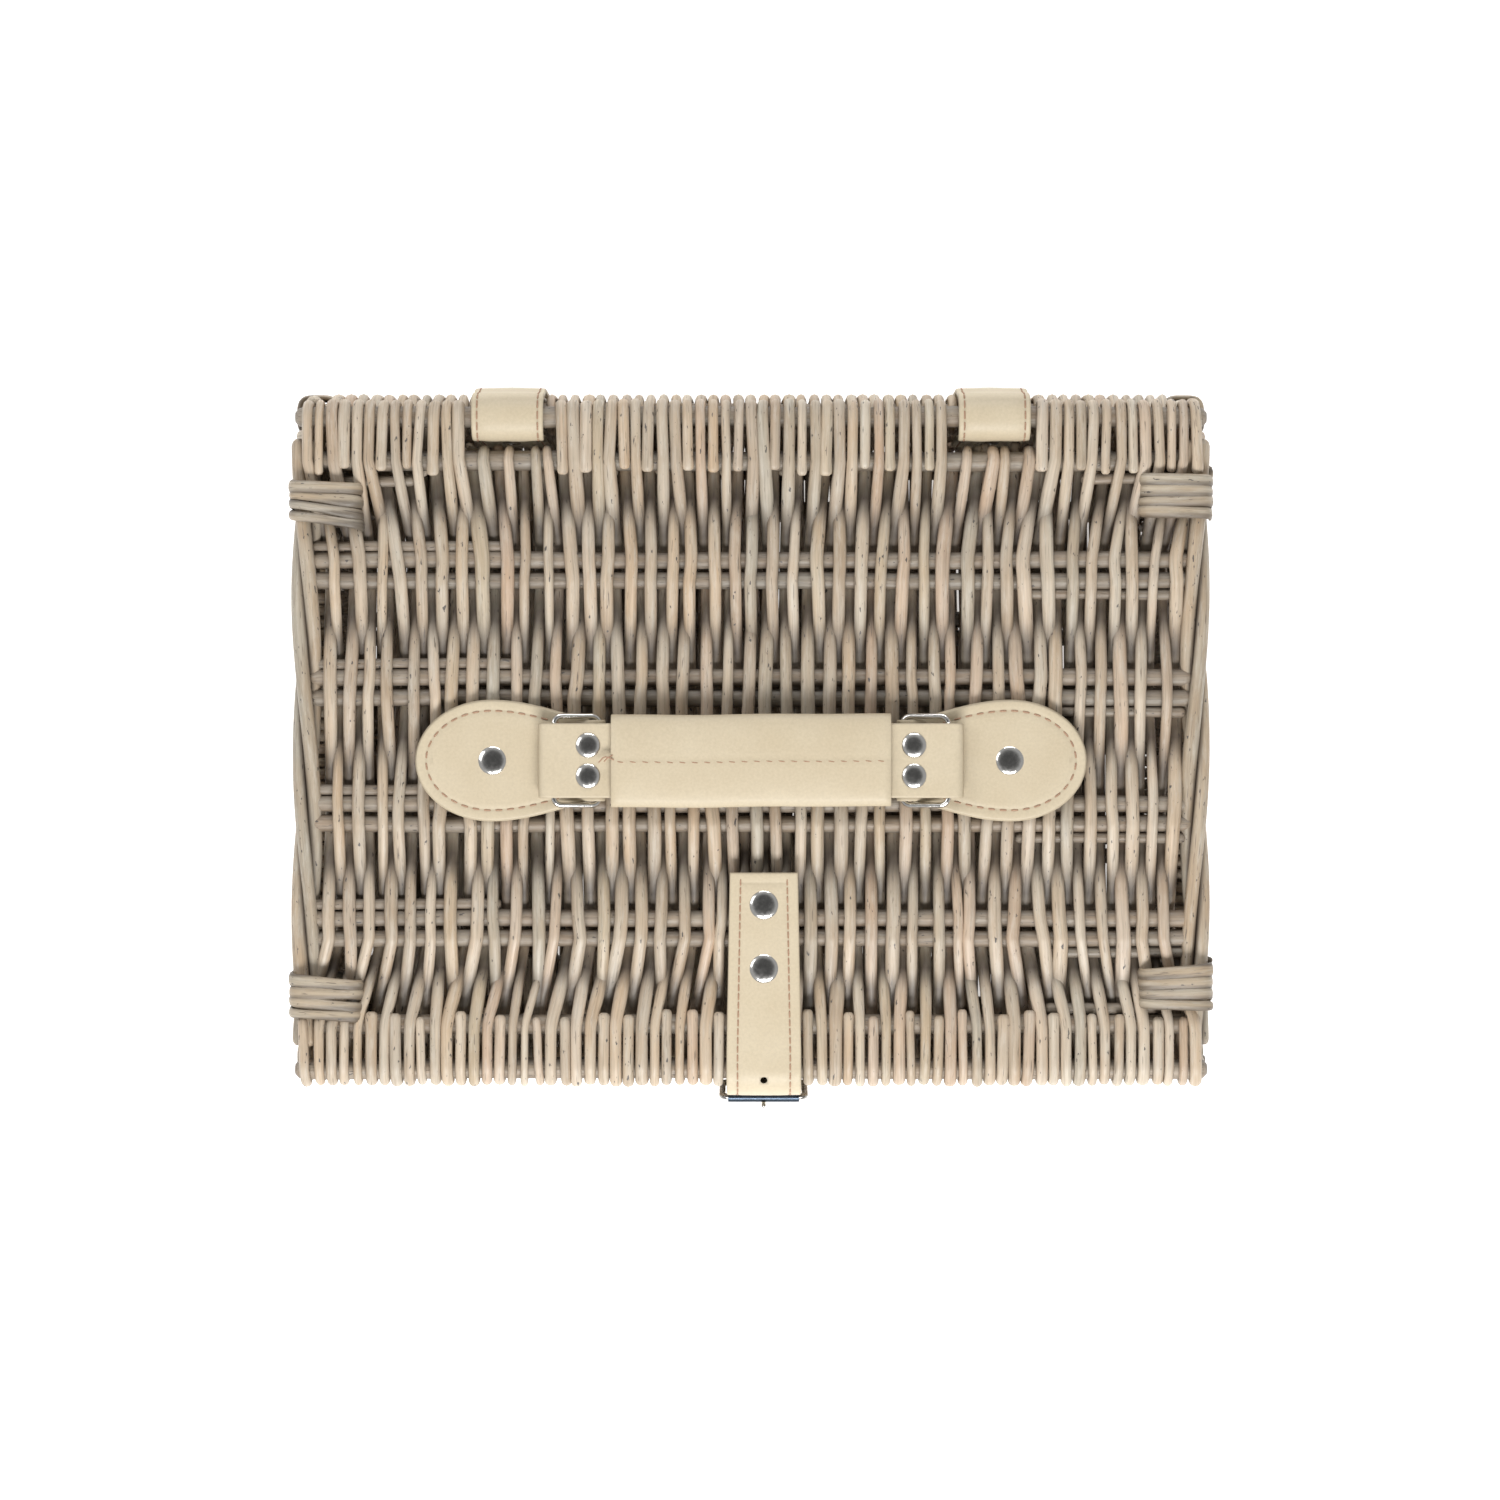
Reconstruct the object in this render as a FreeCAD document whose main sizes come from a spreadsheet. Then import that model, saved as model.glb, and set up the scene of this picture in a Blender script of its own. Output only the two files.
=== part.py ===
"""Willow hamper with a flat woven lid, leather hinges, a leather handle and a strap with a roller buckle.

Millimetres. The origin is the middle of the base's underside, +X to the right, +Y to the back, +Z up.
The lid is closed, the handle lies on it and the strap is buckled.
"""

import FreeCAD, Part

import math
import os

import Sketcher
from FreeCAD import Placement, Rotation, Vector

SIZES = {
    # whole hamper
    "hamper_length": 360,
    "hamper_width": 271.2,
    "closed_height": 150,
    "lid_shift": -2.4,
    "rim_gap": 0.4,
    # willow rods and the weave that wraps them
    "edge_rod": 4.2,
    "second_rod": 4.0,
    "core_rod": 3.4,
    "post": 5.5,
    "wrap": 3.8,
    "rod_fit": 0.05,
    "second_inset": 17.4,
    "pair_half_step": 3.9,
    "lid_rod_length": 356,
    "lid_slab_half": 168.6,
    "side_rod_length": 242,
    "lid_pair_back": 67.4,
    "lid_pair_mid_back": 21.5,
    "lid_pair_mid_front": -27.8,
    "lid_pair_front": -72.6,
    "wall_pair_height": 66.8,
    "base_pair_step": 46,
    # lashings
    "lashing_wall": 3.4,
    "lashing_width": 19,
    "lashing_place": 95.5,
    "lashing_inner": 151.5,
    "lashing_outer": 180.4,
    "lashing_top": 151.8,
    "ring_lashing_height": 18,
    "ring_lashing_low": 14,
    "ring_lashing_high": 100,
    # leather
    "strap_leather": 2.0,
    "handle_leather": 1.5,
    "strap_width": 28,
    "strap_end_width": 29,
    # hinges
    "hinge_place": 95,
    "hinge_window": 34,
    "hinge_window_edge": 118.2,
    "hinge_fit": 0.08,
    "hinge_leg_gap": 0.3,
    "hinge_leg_bottom": 86,
    "hinge_rivet_high": 116.8,
    "hinge_rivet_low": 96,
    # handle
    "handle_line": -9.4,
    "ring_wire": 1.1,
    "bar_fit": 0.05,
    "pad_bar": 58.9,
    "pad_neck": 31.6,
    "pad_neck_end": 68,
    "pad_round": 23.7,
    "pad_round_place": 107,
    "pad_rivet": 100.6,
    "ring_reach": 17.6,
    "ring_rise": 5.25,
    "ring_half_width": 17.3,
    "ring_corner": 1.4,
    "grip_pivot": 56.6,
    "loop_inner": 2.0,
    "loop_back": 0.35,
    "loop_up": 0.45,
    "strap_rivet": 63.2,
    "strap_rivet_step": 11.9,
    "sleeve_half": 54.3,
    "sleeve_width": 36,
    "sleeve_height": 8.4,
    "sleeve_wall": 1.6,
    # closing strap and buckle
    "strap_place": 5,
    "strap_end_place": -53,
    "strap_rivet_back": -65.6,
    "strap_rivet_front": -90.4,
    "strap_joint": -129.0,
    "tail_gap": 0.3,
    "tail_front": 143.6,
    "tail_cross_high": 117,
    "tail_cross_low": 101,
    "tail_end": 66,
    "tail_hole": 1.3,
    "tail_hole_step": 12,
    "prong_hole_width": 3.2,
    "prong_hole_low": 98,
    "prong_hole_high": 105.5,
    "buckle_bar": 1.3,
    "buckle_half_width": 16.4,
    "buckle_corner": 2.2,
    "end_bar_height": 98,
    "roller": 2.2,
    "roller_place": 142.8,
    "roller_height": 120,
    "roller_length": 28.2,
    "prong": 0.9,
    "prong_eye": 2.6,
    "prong_eye_half": 0.75,
    "prong_knee_place": 145.6,
    "prong_knee_height": 103,
    "prong_tip_place": 146.3,
    "prong_tip_height": 122,
    "prong_slot": 4.6,
    "buckle_strap_bottom": 26,
    "buckle_rivet_high": 52,
    "buckle_rivet_low": 36,
    # rivets
    "rivet_shank": 1.5,
    "rivet_cap": 5.7,
    "small_rivet_cap": 4.9,
    "rivet_dome": 1.4,
    "burr": 3.6,
    "burr_height": 1.0,
}

# Expressions that several pieces share.
HALF_PANEL = "(dims.edge_rod + dims.wrap)"
PANEL = "(2 * (dims.edge_rod + dims.wrap))"
EDGE_LINE = "(dims.hamper_width / 2 - dims.edge_rod - dims.wrap)"
SIDE_LINE = "(dims.hamper_length / 2 - dims.edge_rod - dims.wrap)"
LID_TOP = "dims.closed_height"
LID_MIDDLE = f"(dims.closed_height - {HALF_PANEL})"
LID_BOTTOM = f"(dims.closed_height - {PANEL})"
WALL_TOP = f"(dims.closed_height - {PANEL} - dims.rim_gap)"
RIM_HEIGHT = f"({WALL_TOP} - {HALF_PANEL})"
WALL_HALF_LENGTH = f"({SIDE_LINE} - {HALF_PANEL})"
SIDE_HALF_LENGTH = f"({EDGE_LINE} - {HALF_PANEL})"
HINGE_LINE = f"({EDGE_LINE} + dims.lid_shift)"
LID_FRONT = f"(-{EDGE_LINE} + dims.lid_shift)"
WALL_FACE = f"({EDGE_LINE} + {HALF_PANEL})"
END_BAR_PLACE = f"(-{WALL_FACE} - dims.strap_leather - dims.bar_fit - dims.buckle_bar)"
PAD_FOLD = "(dims.ring_wire + dims.bar_fit + dims.handle_leather)"
RING_BAR_HEIGHT = f"({LID_TOP} + {PAD_FOLD})"
GRIP_HEIGHT = f"({RING_BAR_HEIGHT} + dims.ring_rise)"
RING_TILT = "atan(dims.ring_rise / dims.ring_reach)"
RING_LENGTH = "sqrt(dims.ring_rise ^ 2 + dims.ring_reach ^ 2)"

WALL_RODS = (
    ("rim", "dims.edge_rod", RIM_HEIGHT),
    ("second", "dims.second_rod", f"{RIM_HEIGHT} - dims.second_inset"),
    ("pair_high", "dims.core_rod", "dims.wall_pair_height + dims.pair_half_step"),
    ("pair_low", "dims.core_rod", "dims.wall_pair_height - dims.pair_half_step"),
    ("lower", "dims.second_rod", f"{HALF_PANEL} + dims.second_inset"),
    ("foot", "dims.edge_rod", HALF_PANEL),
)
LID_PAIRS = ("lid_pair_back", "lid_pair_mid_back", "lid_pair_mid_front", "lid_pair_front")
SIDES = (("left", -1), ("right", 1))

doc = FreeCAD.newDocument("willow_hamper")
nodes = []


def make_sheet():
    """The driving dimensions, one alias a row."""
    sheet = doc.addObject("Spreadsheet::Sheet", "dims")
    for row, (alias, value) in enumerate(SIZES.items(), start=1):
        sheet.set(f"A{row}", alias)
        sheet.set(f"B{row}", str(value))
        sheet.setAlias(f"B{row}", alias)
    doc.recompute()
    return sheet


def size(text):
    """The number that an expression gives now."""
    return float(sheet.evalExpression(text))


def bind(item, **texts):
    for name, text in texts.items():
        item.setExpression(name, text)


def place(item, x, y, z):
    item.setExpression("Placement.Base.x", x)
    item.setExpression("Placement.Base.y", y)
    item.setExpression("Placement.Base.z", z)


def node(item, label):
    """Marks a finished sub-part, whose label names its file."""
    item.Label = label
    nodes.append(item)
    return item


def box(name, x, y, z):
    """A block between (low, high) expressions along each axis."""
    item = doc.addObject("Part::Box", name)
    bind(item, Length=f"({x[1]}) - ({x[0]})", Width=f"({y[1]}) - ({y[0]})", Height=f"({z[1]}) - ({z[0]})")
    place(item, x[0], y[0], z[0])
    return item


TURNS = {
    "X": Rotation(Vector(0, 1, 0), 90),
    "Y": Rotation(Vector(1, 0, 0), -90),
    "Z": Rotation(),
}


def rod(name, axis, radius, start, length):
    """A round bar along an axis, from a start point given as three expressions."""
    item = doc.addObject("Part::Cylinder", name)
    item.Placement = Placement(Vector(), TURNS[axis])
    bind(item, Radius=radius, Height=length)
    place(item, *start)
    return item


def gather(kind, name, pieces):
    item = doc.addObject(kind, name)
    if kind == "Part::Compound":
        item.Links = pieces
    else:
        item.Shapes = pieces
    return item


def fuse(name, pieces):
    item = gather("Part::MultiFuse", name, pieces)
    item.Refine = True
    return item


def group(name, pieces):
    """Separate solids that share a node."""
    return gather("Part::Compound", name, pieces)


def cut(name, base, tools):
    item = doc.addObject("Part::Cut", name)
    item.Base = base
    item.Tool = tools[0] if len(tools) == 1 else gather("Part::Compound", f"{name}_tools", tools)
    return item


def plane(body, role):
    return next(item for item in body.Origin.OriginFeatures if item.Role == role)


def sketch_on(body, name, role):
    sketch = body.newObject("Sketcher::SketchObject", name)
    sketch.AttachmentSupport = (plane(body, role), [""])
    sketch.MapMode = "FlatFace"
    return sketch


def hold(sketch, kind, name, text, *where):
    """A dimension that an expression drives."""
    sketch.addConstraint(Sketcher.Constraint(kind, *where, size(text)))
    index = sketch.ConstraintCount - 1
    sketch.renameConstraint(index, name)
    sketch.setExpression(f"Constraints.{name}", text)


def belt(body, name, role, first, second):
    """Two circles, each (across, up, radius), joined by their outer tangents."""
    sketch = sketch_on(body, name, role)
    circles = [[size(text) for text in circle] for circle in (first, second)]
    (first_x, first_y, first_r), (second_x, second_y, second_r) = circles
    gap = math.hypot(second_x - first_x, second_y - first_y)
    heading = math.atan2(second_y - first_y, second_x - first_x)
    spread = math.acos((first_r - second_r) / gap)
    starts = (heading + spread, heading - spread)
    turns = (2 * math.pi - 2 * spread, 2 * spread)
    for (x, y, radius), start, turn in zip(circles, starts, turns):
        circle = Part.Circle(Vector(x, y, 0), Vector(0, 0, 1), radius)
        sketch.addGeometry(Part.ArcOfCircle(circle, start, start + turn), False)
    ends = [sketch.getPoint(arc, end) for arc, end in ((0, 1), (1, 2), (0, 2), (1, 1))]
    sketch.addGeometry(Part.LineSegment(ends[0], ends[1]), False)
    sketch.addGeometry(Part.LineSegment(ends[2], ends[3]), False)
    for line, line_end, arc, arc_end in ((2, 1, 0, 1), (2, 2, 1, 2), (3, 1, 0, 2), (3, 2, 1, 1)):
        sketch.addConstraint(Sketcher.Constraint("Tangent", line, line_end, arc, arc_end))
    for arc, (across, up, radius) in enumerate((first, second)):
        hold(sketch, "DistanceX", f"across_{arc}", across, -1, 1, arc, 3)
        hold(sketch, "DistanceY", f"up_{arc}", up, -1, 1, arc, 3)
        hold(sketch, "Radius", f"radius_{arc}", radius, arc)
    return sketch


def rectangle(body, name, role, low, high):
    """A rectangle between two corners, each (across, up)."""
    sketch = sketch_on(body, name, role)
    left, bottom = (size(text) for text in low)
    right, top = (size(text) for text in high)
    corners = [Vector(left, bottom, 0), Vector(right, bottom, 0), Vector(right, top, 0), Vector(left, top, 0)]
    for index, corner in enumerate(corners):
        sketch.addGeometry(Part.LineSegment(corner, corners[(index + 1) % 4]), False)
        sketch.addConstraint(Sketcher.Constraint("Horizontal" if index % 2 == 0 else "Vertical", index))
    for index in range(4):
        sketch.addConstraint(Sketcher.Constraint("Coincident", index, 2, (index + 1) % 4, 1))
    hold(sketch, "DistanceX", "left", low[0], -1, 1, 0, 1)
    hold(sketch, "DistanceY", "bottom", low[1], -1, 1, 0, 1)
    hold(sketch, "DistanceX", "right", high[0], -1, 1, 2, 1)
    hold(sketch, "DistanceY", "top", high[1], -1, 1, 2, 1)
    return sketch


def pad(body, sketch, length):
    feature = body.newObject("PartDesign::Pad", f"{sketch.Name}_pad")
    feature.Profile = sketch
    feature.SideType = "Symmetric"
    bind(feature, Length=length)
    return feature


def pocket(body, sketch, length):
    feature = body.newObject("PartDesign::Pocket", f"{sketch.Name}_pocket")
    feature.Profile = sketch
    feature.Type = "Length"
    feature.SideType = "Symmetric"
    bind(feature, Length=length)
    return feature


def rivet(name, axis, x, y, z, length, cap, way):
    """A domed cap at x, y, z, a shank of the given length behind it and a burr at the shank's end.

    The cap faces up (axis "Z") or, seen from outside, forwards or backwards (axis "Y", way -1 or 1).
    """
    turn = Rotation() if axis == "Z" else Rotation(Vector(1, 0, 0), -90 * way)
    dome = doc.addObject("Part::Ellipsoid", f"{name}_dome")
    dome.Placement = Placement(Vector(), turn)
    bind(dome, Radius1="dims.rivet_dome", Radius2=cap, Angle1="0", Angle2="90")
    place(dome, x, y, z)
    under = turn * Rotation(Vector(1, 0, 0), 180)
    shank = doc.addObject("Part::Cylinder", f"{name}_shank")
    shank.Placement = Placement(Vector(), under)
    bind(shank, Radius="dims.rivet_shank", Height=length)
    place(shank, x, y, z)
    burr = doc.addObject("Part::Cylinder", f"{name}_burr")
    burr.Placement = Placement(Vector(), under)
    bind(burr, Radius="dims.burr", Height="dims.burr_height")
    if axis == "Z":
        place(burr, x, y, f"{z} - ({length})")
    else:
        place(burr, x, f"{y} - ({way}) * ({length})", z)
    return fuse(name, [dome, shank, burr])


def rivet_bore(name, axis, x, y, z, length, way):
    """The hole that a rivet's shank fills."""
    turn = Rotation(Vector(1, 0, 0), 180) if axis == "Z" else Rotation(Vector(1, 0, 0), 90 * way)
    item = doc.addObject("Part::Cylinder", name)
    item.Placement = Placement(Vector(), turn)
    bind(item, Radius="dims.rivet_shank", Height=length)
    place(item, x, y, z)
    return item


def rounded_frame(name, length, half_width, corner, bar):
    """A rectangular loop of round bar, flat in XY, with its two end bars at x = 0 and x = length."""
    pieces = []
    for end in (0, 1):
        across = f"{end} * ({length})"
        cross = rod(f"{name}_cross_{end}", "Y", bar, (across, f"-({half_width}) + {corner}", "0"),
                    f"2 * ({half_width}) - 2 * {corner}")
        pieces.append(cross)
    for side in (-1, 1):
        pieces.append(rod(f"{name}_side_{side + 1}", "X", bar, (corner, f"{side} * ({half_width})", "0"),
                          f"{length} - 2 * {corner}"))
    for end, side, turn in ((0, -1, 180), (1, -1, 270), (1, 1, 0), (0, 1, 90)):
        bend = doc.addObject("Part::Torus", f"{name}_bend_{turn}")
        bend.Placement = Placement(Vector(), Rotation(Vector(0, 0, 1), turn))
        bind(bend, Radius1=corner, Radius2=bar, Angle3="90")
        across = corner if end == 0 else f"{length} - {corner}"
        place(bend, across, f"{side} * (({half_width}) - {corner})", "0")
        pieces.append(bend)
    return fuse(name, pieces)


def wall_rods(name, axis, line):
    """The horizontal rods of one wall, and the bores that they fill."""
    rods = []
    bores = []
    half = WALL_HALF_LENGTH if axis == "X" else SIDE_HALF_LENGTH
    for what, radius, height in WALL_RODS:
        start = (f"-{half}", line, height) if axis == "X" else (line, f"-{half}", height)
        rods.append(rod(f"{name}_{what}", axis, radius, start, f"2 * {half}"))
        bores.append(rod(f"{name}_{what}_bore", axis, f"{radius} + dims.rod_fit", start, f"2 * {half}"))
    return rods, bores


def wall(name, axis, line, extra_bores):
    """A woven wall with a rounded rim and foot, and its rods."""
    half = WALL_HALF_LENGTH if axis == "X" else SIDE_HALF_LENGTH
    along = (f"-{half}", half)
    through = (f"{line} - {HALF_PANEL}", f"{line} + {HALF_PANEL}")
    x, y = (along, through) if axis == "X" else (through, along)
    pieces = [box(f"{name}_sheet", x, y, (HALF_PANEL, RIM_HEIGHT))]
    for what, height in (("rim_turn", RIM_HEIGHT), ("foot_turn", HALF_PANEL)):
        start = (f"-{half}", line, height) if axis == "X" else (line, f"-{half}", height)
        pieces.append(rod(f"{name}_{what}", axis, HALF_PANEL, start, f"2 * {half}"))
    rods, bores = wall_rods(f"{name}_rod", axis, line)
    woven = cut(f"{name}_woven", fuse(f"{name}_blank", pieces), bores + extra_bores)
    node(woven, f"{name}_weave")
    node(group(f"{name}_rod_group", rods), f"{name}_rods")


def hinge_rivet_places():
    for side, way in SIDES:
        for what in ("high", "low"):
            yield f"{side}_{what}", f"{way} * dims.hinge_place", f"dims.hinge_rivet_{what}"


def buckle_rivet_places():
    for what in ("high", "low"):
        yield what, "dims.strap_place", f"dims.buckle_rivet_{what}"


def make_base():
    rods = []
    bores = []
    for what, radius, line in base_rod_lines():
        start = (f"-{WALL_HALF_LENGTH}", line, HALF_PANEL)
        rods.append(rod(f"base_rod_{what}", "X", radius, start, f"2 * {WALL_HALF_LENGTH}"))
        length = f"2 * {WALL_HALF_LENGTH}"
        bores.append(rod(f"base_bore_{what}", "X", f"{radius} + dims.rod_fit", start, length))
    slab = box("base_sheet", (f"-{WALL_HALF_LENGTH}", WALL_HALF_LENGTH),
               (f"-{SIDE_HALF_LENGTH}", SIDE_HALF_LENGTH), ("0", PANEL))
    node(cut("base_woven", slab, bores), "base_weave")
    node(group("base_rod_group", rods), "base_rods")


def base_rod_lines():
    for way in (-1, 1):
        yield f"edge_{way + 1}", "dims.second_rod", f"{way} * ({SIDE_HALF_LENGTH} - 2 * dims.second_rod)"
    for step in (-1, 0, 1):
        for way in (-1, 1):
            line = f"{step} * dims.base_pair_step + {way} * dims.pair_half_step"
            yield f"pair_{step + 1}_{way + 1}", "dims.core_rod", line


def make_walls():
    through = PANEL
    back_bores = [rivet_bore(f"back_bore_{name}", "Y", x, WALL_FACE, z, through, 1)
                  for name, x, z in hinge_rivet_places()]
    front_bores = [rivet_bore(f"front_bore_{name}", "Y", x, f"-{WALL_FACE}", z, through, -1)
                   for name, x, z in buckle_rivet_places()]
    wall("back_wall", "X", EDGE_LINE, back_bores)
    wall("front_wall", "X", f"-{EDGE_LINE}", front_bores)
    wall("left_wall", "Y", f"-{SIDE_LINE}", [])
    wall("right_wall", "Y", SIDE_LINE, [])


def make_corners():
    """Four upright posts, and the lashings that tie the walls' ends to them."""
    posts = []
    lashings = []
    for x_way in (-1, 1):
        for y_way in (-1, 1):
            name = f"post_{x_way + 1}{y_way + 1}"
            spot = (f"{x_way} * {SIDE_LINE}", f"{y_way} * {EDGE_LINE}")
            posts.append(rod(name, "Z", "dims.post", (*spot, "0"), WALL_TOP))
            for what in ("low", "high"):
                start = (*spot, f"dims.ring_lashing_{what}")
                outer = rod(f"{name}_{what}_outer", "Z", HALF_PANEL, start, "dims.ring_lashing_height")
                inner = rod(f"{name}_{what}_inner", "Z", "dims.post", start, "dims.ring_lashing_height")
                lashings.append(cut(f"{name}_{what}_lashing", outer, [inner]))
    node(group("post_group", posts), "corner_posts")
    node(group("corner_lashing_group", lashings), "corner_lashings")


def make_hinge_straps():
    """Leather saddles round the lid's back rod, with a leg down each face of the back wall."""
    inner_rod = "(dims.edge_rod + dims.hinge_fit)"
    inner_wall = f"({HALF_PANEL} + dims.hinge_leg_gap)"
    for side, way in SIDES:
        body = doc.addObject("PartDesign::Body", f"hinge_{side}")
        layers = (("outer", "dims.strap_leather", pad, "dims.strap_width"),
                  ("inner", "0", pocket, "2 * dims.strap_width"))
        for what, skin, feature, width in layers:
            round_top = belt(body, f"hinge_{side}_{what}_saddle", "YZ_Plane",
                             (HINGE_LINE, LID_MIDDLE, f"{inner_rod} + {skin}"),
                             (EDGE_LINE, RIM_HEIGHT, f"{inner_wall} + {skin}"))
            legs = rectangle(body, f"hinge_{side}_{what}_legs", "YZ_Plane",
                             (f"{EDGE_LINE} - {inner_wall} - {skin}", "dims.hinge_leg_bottom"),
                             (f"{EDGE_LINE} + {inner_wall} + {skin}", RIM_HEIGHT))
            feature(body, round_top, width)
            feature(body, legs, width)
        body.setExpression("Placement.Base.x", f"{way} * dims.hinge_place")
        reach = f"2 * {WALL_FACE}"
        bores = [rivet_bore(f"hinge_{side}_bore_{name}", "Y", x, f"2 * {WALL_FACE}", z, reach, 1)
                 for name, x, z in hinge_rivet_places() if name.startswith(side)]
        node(cut(f"hinge_{side}_strap", body, bores), f"hinge_strap_{side}")
    outside = f"{WALL_FACE} + dims.hinge_leg_gap + dims.strap_leather"
    grip = f"{PANEL} + 2 * dims.hinge_leg_gap + 2 * dims.strap_leather"
    rivets = [rivet(f"hinge_rivet_{name}", "Y", x, outside, z, grip, "dims.rivet_cap", 1)
              for name, x, z in hinge_rivet_places()]
    node(group("hinge_rivet_group", rivets), "hinge_rivets")


def make_buckle_strap():
    """A strap riveted to the front wall, whose top folds round the buckle's end bar."""
    fold = "(dims.buckle_bar + dims.bar_fit + dims.strap_leather)"
    upright = box("buckle_strap_sheet",
                  ("dims.strap_place - dims.strap_width / 2", "dims.strap_place + dims.strap_width / 2"),
                  (f"-{WALL_FACE} - dims.strap_leather", f"-{WALL_FACE}"),
                  ("dims.buckle_strap_bottom", "dims.end_bar_height"))
    start = ("dims.strap_place - dims.strap_width / 2", END_BAR_PLACE, "dims.end_bar_height")
    loop = rod("buckle_strap_loop", "X", fold, start, "dims.strap_width")
    bore = rod("buckle_strap_bore", "X", "dims.buckle_bar + dims.bar_fit", start, "dims.strap_width")
    slot = box("buckle_strap_slot",
               ("dims.strap_place - dims.prong_slot / 2", "dims.strap_place + dims.prong_slot / 2"),
               (f"{END_BAR_PLACE} - 2 * {fold}", f"-{WALL_FACE}"),
               (f"dims.end_bar_height - 2 * {fold}", f"dims.end_bar_height + 2 * {fold}"))
    bores = [rivet_bore(f"buckle_strap_rivet_bore_{name}", "Y", x, f"-2 * {WALL_FACE}", z,
                        f"2 * {WALL_FACE}", -1)
             for name, x, z in buckle_rivet_places()]
    blank = fuse("buckle_strap_blank", [upright, loop])
    node(cut("buckle_strap_cut", blank, [bore, slot] + bores), "buckle_strap")
    rivets = [rivet(f"buckle_rivet_{name}", "Y", x, f"-{WALL_FACE} - dims.strap_leather", z,
                    f"{PANEL} + dims.strap_leather", "dims.rivet_cap", -1)
              for name, x, z in buckle_rivet_places()]
    node(group("buckle_rivet_group", rivets), "buckle_strap_rivets")


def lid_rivet_places():
    """Rivets through the lid: one in each handle pad and two in the closing strap."""
    for side, way in SIDES:
        yield f"pad_{side}", f"{way} * dims.pad_rivet", "dims.handle_line"
    for what in ("back", "front"):
        yield f"strap_{what}", "dims.strap_place", f"dims.strap_rivet_{what}"


def make_lid():
    line_back = HINGE_LINE
    line_front = LID_FRONT
    span = ("-dims.lid_slab_half", "dims.lid_slab_half")
    sheet_box = box("lid_sheet", span, (line_front, line_back), (LID_BOTTOM, LID_TOP))
    turns = [rod(f"lid_turn_{name}", "X", HALF_PANEL, (span[0], line, LID_MIDDLE), "2 * dims.lid_slab_half")
             for name, line in (("back", line_back), ("front", line_front))]
    rods = {
        "edge_back": ("dims.edge_rod", line_back),
        "edge_front": ("dims.edge_rod", line_front),
        "second_back": ("dims.second_rod", f"{line_back} - dims.second_inset"),
        "second_front": ("dims.second_rod", f"{line_front} + dims.second_inset"),
    }
    for pair in LID_PAIRS:
        for what, way in (("upper", 1), ("lower", -1)):
            line = f"dims.{pair} + dims.lid_shift + {way} * dims.pair_half_step"
            rods[f"{pair}_{what}"] = ("dims.core_rod", line)
    made = {}
    bores = []
    for name, (radius, line) in rods.items():
        half = "dims.lid_rod_length / 2" if name.startswith("edge") else "dims.lid_slab_half"
        made[name] = rod(f"lid_{name}_rod", "X", radius, (f"-{half}", line, LID_MIDDLE), f"2 * {half}")
        start = ("-dims.lid_rod_length / 2", line, LID_MIDDLE)
        bores.append(rod(f"lid_{name}_bore", "X", f"{radius} + dims.rod_fit", start, "dims.lid_rod_length"))
    for side, way in SIDES:
        middle = f"{way} * dims.hinge_place"
        window = (f"{middle} - dims.hinge_window / 2", f"{middle} + dims.hinge_window / 2")
        bores.append(box(f"lid_window_{side}", window,
                         ("dims.hinge_window_edge + dims.lid_shift", f"{line_back} + 2 * {HALF_PANEL}"),
                         (f"{LID_BOTTOM} - 1", f"{LID_TOP} + 1")))
    for name, x, y in lid_rivet_places():
        bores.append(rivet_bore(f"lid_bore_{name}", "Z", x, y, LID_TOP, PANEL, 1))
    lashings = make_lid_lashings()
    blank = fuse("lid_blank", [sheet_box] + turns)
    node(cut("lid_woven", blank, bores + lashings), "lid_weave")
    node(made.pop("edge_back"), "lid_hinge_rod")
    edges = [made.pop(name) for name in ("edge_front", "second_back", "second_front")]
    node(group("lid_edge_group", edges), "lid_edge_rods")
    node(group("lid_core_group", list(made.values())), "lid_core_rods")
    side_rods = [rod(f"lid_side_rod_{side}", "Y", "dims.edge_rod",
                     (f"{way} * (dims.lid_slab_half + dims.edge_rod)",
                      "dims.lid_shift - dims.side_rod_length / 2", LID_MIDDLE),
                     "dims.side_rod_length")
                 for side, way in SIDES]
    node(group("lid_side_group", side_rods), "lid_side_rods")
    node(group("lid_lashing_group", lashings), "lid_lashings")


def make_lid_lashings():
    """Square-sectioned bands that stand for the windings round each corner of the lid."""
    bands = []
    for side, way in SIDES:
        inner = (f"{way} * dims.lashing_inner", f"{way} * dims.lashing_outer")
        low, high = inner if way > 0 else inner[::-1]
        for what, y_way in (("front", -1), ("back", 1)):
            name = f"lid_lashing_{side}_{what}"
            middle = f"{y_way} * dims.lashing_place + dims.lid_shift"
            y = (f"{middle} - dims.lashing_width / 2", f"{middle} + dims.lashing_width / 2")
            outer = box(f"{name}_outer", (low, high), y, (LID_BOTTOM, "dims.lashing_top"))
            hollow = box(f"{name}_hollow", (f"{low} + dims.lashing_wall", f"{high} - dims.lashing_wall"), y,
                         (f"{LID_BOTTOM} + dims.lashing_wall", "dims.lashing_top - dims.lashing_wall"))
            bands.append(cut(name, outer, [hollow]))
    return bands


def mirrored_span(way, inner, outer):
    """The (low, high) expressions between two distances from the middle, on one side of it."""
    near = f"{way} * ({inner})"
    far = f"{way} * ({outer})"
    return (near, far) if way > 0 else (far, near)


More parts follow.
